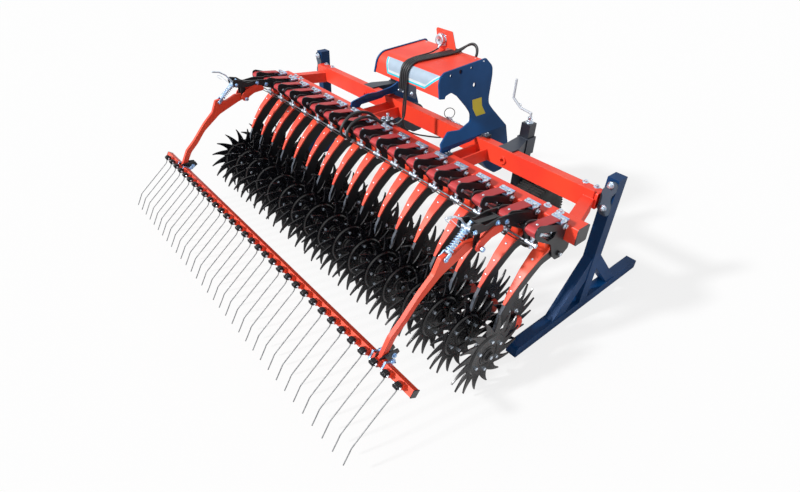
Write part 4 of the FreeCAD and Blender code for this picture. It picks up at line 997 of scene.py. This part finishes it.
def harrow_clamps():
    """Brackets, straps and end plugs on the tine tube, drawn about the tube's own axis."""
    bm = bmesh.new()
    for side in (-1, 1):
        x = side * HARROW_X
        for out in (-1, 1):
            low, high = sorted((x + out * 13, x + out * 19))
            slab(bm, "x", [(-30, -26), (34, -26), (64, 20), (86, 62), (62, 78), (20, 60),
                           (-30, 24)], low, high, 0)
            low, high = sorted((x + out * 40, x + out * 52))
            slab(bm, "x", [(-25, -25), (25, -25), (25, 25), (-25, 25)], low, high, 1)
            rod(bm, (x + out * 46, 34, -30), (x + out * 46, 34, 32), 5, 12, 1)
            stud_nut(bm, (x + out * 46, 34, 25), Z, 15, 1)
        rod(bm, (x - 26, 58, 40), (x + 26, 58, 40), 6, 14, 1)
        for out in (-1, 1):
            hex_bolt(bm, (x + out * 19, 58, 40), X * out, 15, True, 1)
            hex_bolt(bm, (x + out * 19, 20, 8), X * out, 13, False, 1)
    for x, way in ((1448, 1), (-1475, -1)):
        low, high = sorted((x, x + way * 5))
        slab(bm, "x", [(-21, -21), (21, -21), (21, 21), (-21, 21)], low, high, 0)
    place = Matrix.Translation(at(0, TUBE_Y, TUBE_Z)) @ TILT
    finish("harrow_clamps", bm, [COIL_WIRE, ZINC_BLUE], "harrow", 1.0, place)


SPRING_STEPS = 68
SPRING_STEPS_A_TURN = 10
SPRING_LENGTH = 97.0
SPRING_RADIUS = 16.8


def strut_spring(side):
    """Coil spring between the two cups of a strut, riding on the strut's sleeve."""
    x = side * HARROW_X
    start = STRUT_TOP + STRUT_WAY * 28
    across = STRUT_WAY.cross(X)
    line = []
    for k in range(SPRING_STEPS + 1):
        angle = 2 * math.pi * k / SPRING_STEPS_A_TURN
        outward = X * math.cos(angle) + across * math.sin(angle)
        spot = start + STRUT_WAY * (SPRING_LENGTH * k / SPRING_STEPS) + outward * SPRING_RADIUS
        line.append((x + spot.x, spot.y, spot.z))
    name = "right" if side > 0 else "left"
    drawn = wire("drawn_spring", [line], 3.2, [ZINC_BLUE], "zinc_steel",
                 "strut_sleeve_" + name)
    mesh = bpy.data.meshes.new_from_object(drawn)
    bpy.data.objects.remove(drawn)
    piece = bpy.data.objects.new("strut_spring_" + name, mesh)
    bpy.context.collection.objects.link(piece)
    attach(piece, "strut_sleeve_" + name)
    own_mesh(piece)


def strut_details(side):
    """Cups, locknuts and pins of one strut."""
    x = side * HARROW_X
    name = "right" if side > 0 else "left"
    bm = bmesh.new()
    top = Vector((x, *STRUT_TOP[1:]))
    eye = Vector((x, *STRUT_EYE[1:]))
    turned(bm, top + STRUT_WAY * 16, STRUT_WAY,
           [(0, 13), (0, 15), (1, 21), (10, 22), (11, 19.6), (11, 13)], 28, ring=True)
    for way in (-1, 1):
        hex_bolt(bm, top + X * 26 * way, X * way, 13, True)
    turned(bm, top + STRUT_WAY * -26, -STRUT_WAY, [(0, 12), (10, 12)], 6)
    finish("strut_head_" + name, bm, [ZINC_BLUE], "strut_sleeve_" + name, 0.6)
    bm = bmesh.new()
    turned(bm, eye - STRUT_WAY * 44, -STRUT_WAY, [(0, 14), (1, 21), (9, 22), (10, 19.6)], 28)
    for way in (-1, 1):
        button(bm, eye + X * 24 * way, X * way, 8)
        low, high = sorted((x + way * 14.5, x + way * 21.5))
        a, b = eye + STRUT_WAY * 10, eye - STRUT_WAY * 34
        wide = STRUT_WAY.cross(X) * 11
        slab(bm, "x", [(a + wide)[1:], (a - wide)[1:], (b - wide)[1:], (b + wide)[1:]],
             low, high)
    finish("strut_fork_" + name, bm, [ZINC_BLUE], "strut_rod_" + name, 1.2)


def pivot_details(side):
    """Bolt heads and spring clip at one harrow pivot."""
    x = side * HARROW_X
    name = "right" if side > 0 else "left"
    bm = bmesh.new()
    for way in (-1, 1):
        hex_bolt(bm, (x + way * 59, -751, 800), X * way, 24, False)
        hex_bolt(bm, (x + way * 50, -808, 915), X * way, 13, True)
        hex_bolt(bm, (x + way * 44, -640, 897), X * way, 15, True)
        hex_bolt(bm, (x + way * 44, -566, 872), X * way, 15, True)
    finish("pivot_bolts_" + name, bm, [ZINC_BLUE], "frame", 0.6)
    clip = [(x - 40, -880, 946), (x - 46, -902, 962), (x - 62, -900, 974), (x - 66, -872, 966),
            (x - 50, -856, 944), (x - 34, -846, 930), (x - 20, -838, 920)]
    wire("strut_clip_" + name, [clip], 2.0, [ZINC], "zinc_steel", "strut_sleeve_" + name)


tines()
harrow_clamps()
for side in (-1, 1):
    strut_spring(side)
    strut_details(side)
    pivot_details(side)


# ---------------------------------------------------------------- studio
def floor():
    """Plain white floor, mostly lit by itself to the camera, that keeps a pale shadow."""
    bpy.ops.mesh.primitive_plane_add(size=60, location=(0, 0, -0.0005))
    plane = bpy.context.object
    plane.name = "floor"
    material = bpy.data.materials.new("matt_white_floor")
    material.use_nodes = True
    tree = material.node_tree
    tree.nodes.clear()
    matt = node(tree, "ShaderNodeBsdfDiffuse", {"Color": linear("#F6F6F6")})
    glow = node(tree, "ShaderNodeEmission", {"Color": (1, 1, 1, 1), "Strength": 1.0})
    ray = node(tree, "ShaderNodeLightPath")
    share = node(tree, "ShaderNodeMath", {"operation": "MULTIPLY", 1: 0.8},
                 {0: ray.outputs["Is Camera Ray"]})
    lit = node(tree, "ShaderNodeMixShader", links={0: share.outputs[0], 1: matt.outputs[0],
                                                   2: glow.outputs[0]})
    node(tree, "ShaderNodeOutputMaterial", links={"Surface": lit.outputs[0]})
    plane.data.materials.append(material)


def surroundings():
    """White to the camera, in gloss and through glass, and softer as a light."""
    world = bpy.data.worlds.new("studio")
    bpy.context.scene.world = world
    world.use_nodes = True
    tree = world.node_tree
    tree.nodes.clear()
    ray = node(tree, "ShaderNodeLightPath")
    through = node(tree, "ShaderNodeMath", {"operation": "MAXIMUM"},
                   {0: ray.outputs["Is Camera Ray"], 1: ray.outputs["Is Transmission Ray"]})
    seen = node(tree, "ShaderNodeMath", {"operation": "MAXIMUM"},
                {0: through.outputs[0], 1: ray.outputs["Is Glossy Ray"]})
    strength = node(tree, "ShaderNodeMapRange", {"To Min": 0.36, "To Max": 1.0},
                    {"Value": seen.outputs[0]})
    light = node(tree, "ShaderNodeBackground", {"Color": (1, 1, 1, 1)},
                 {"Strength": strength.outputs["Result"]})
    node(tree, "ShaderNodeOutputWorld", links={"Surface": light.outputs[0]})


def sun(name, heading, strength, angle_deg):
    """Lamp far away, shining along a heading; a wide angle softens its shadows."""
    data = bpy.data.lights.new(name, "SUN")
    data.energy = strength
    data.angle = math.radians(angle_deg)
    lamp = bpy.data.objects.new(name, data)
    lamp.rotation_euler = Vector(heading).to_track_quat("-Z", "Y").to_euler()
    bpy.context.collection.objects.link(lamp)


def camera():
    """Behind and to the right of the machine, a little above its headstock."""
    data = bpy.data.cameras.new("camera")
    data.sensor_width = 36.0
    data.lens = 22.4316
    data.clip_end = 200
    lens = bpy.data.objects.new("camera", data)
    right = Vector((0.64690, 0.76193, 0.03144))
    down = Vector((0.47219, -0.36785, -0.80108))
    ahead = Vector((-0.59880, 0.53306, -0.59773))
    turn = Matrix((right, -down, -ahead)).transposed()
    lens.matrix_world = Matrix.Translation(at(2420.3, -2299.5, 2211.2)) @ turn.to_4x4()
    bpy.context.collection.objects.link(lens)
    bpy.context.scene.camera = lens


floor()
surroundings()
sun("key_sun", (0.30, 0.78, -0.55), 3.5, 5)
sun("fill_sun", (-0.75, 0.35, -0.55), 0.25, 40)
camera()
bpy.context.scene.view_settings.view_transform = "Standard"
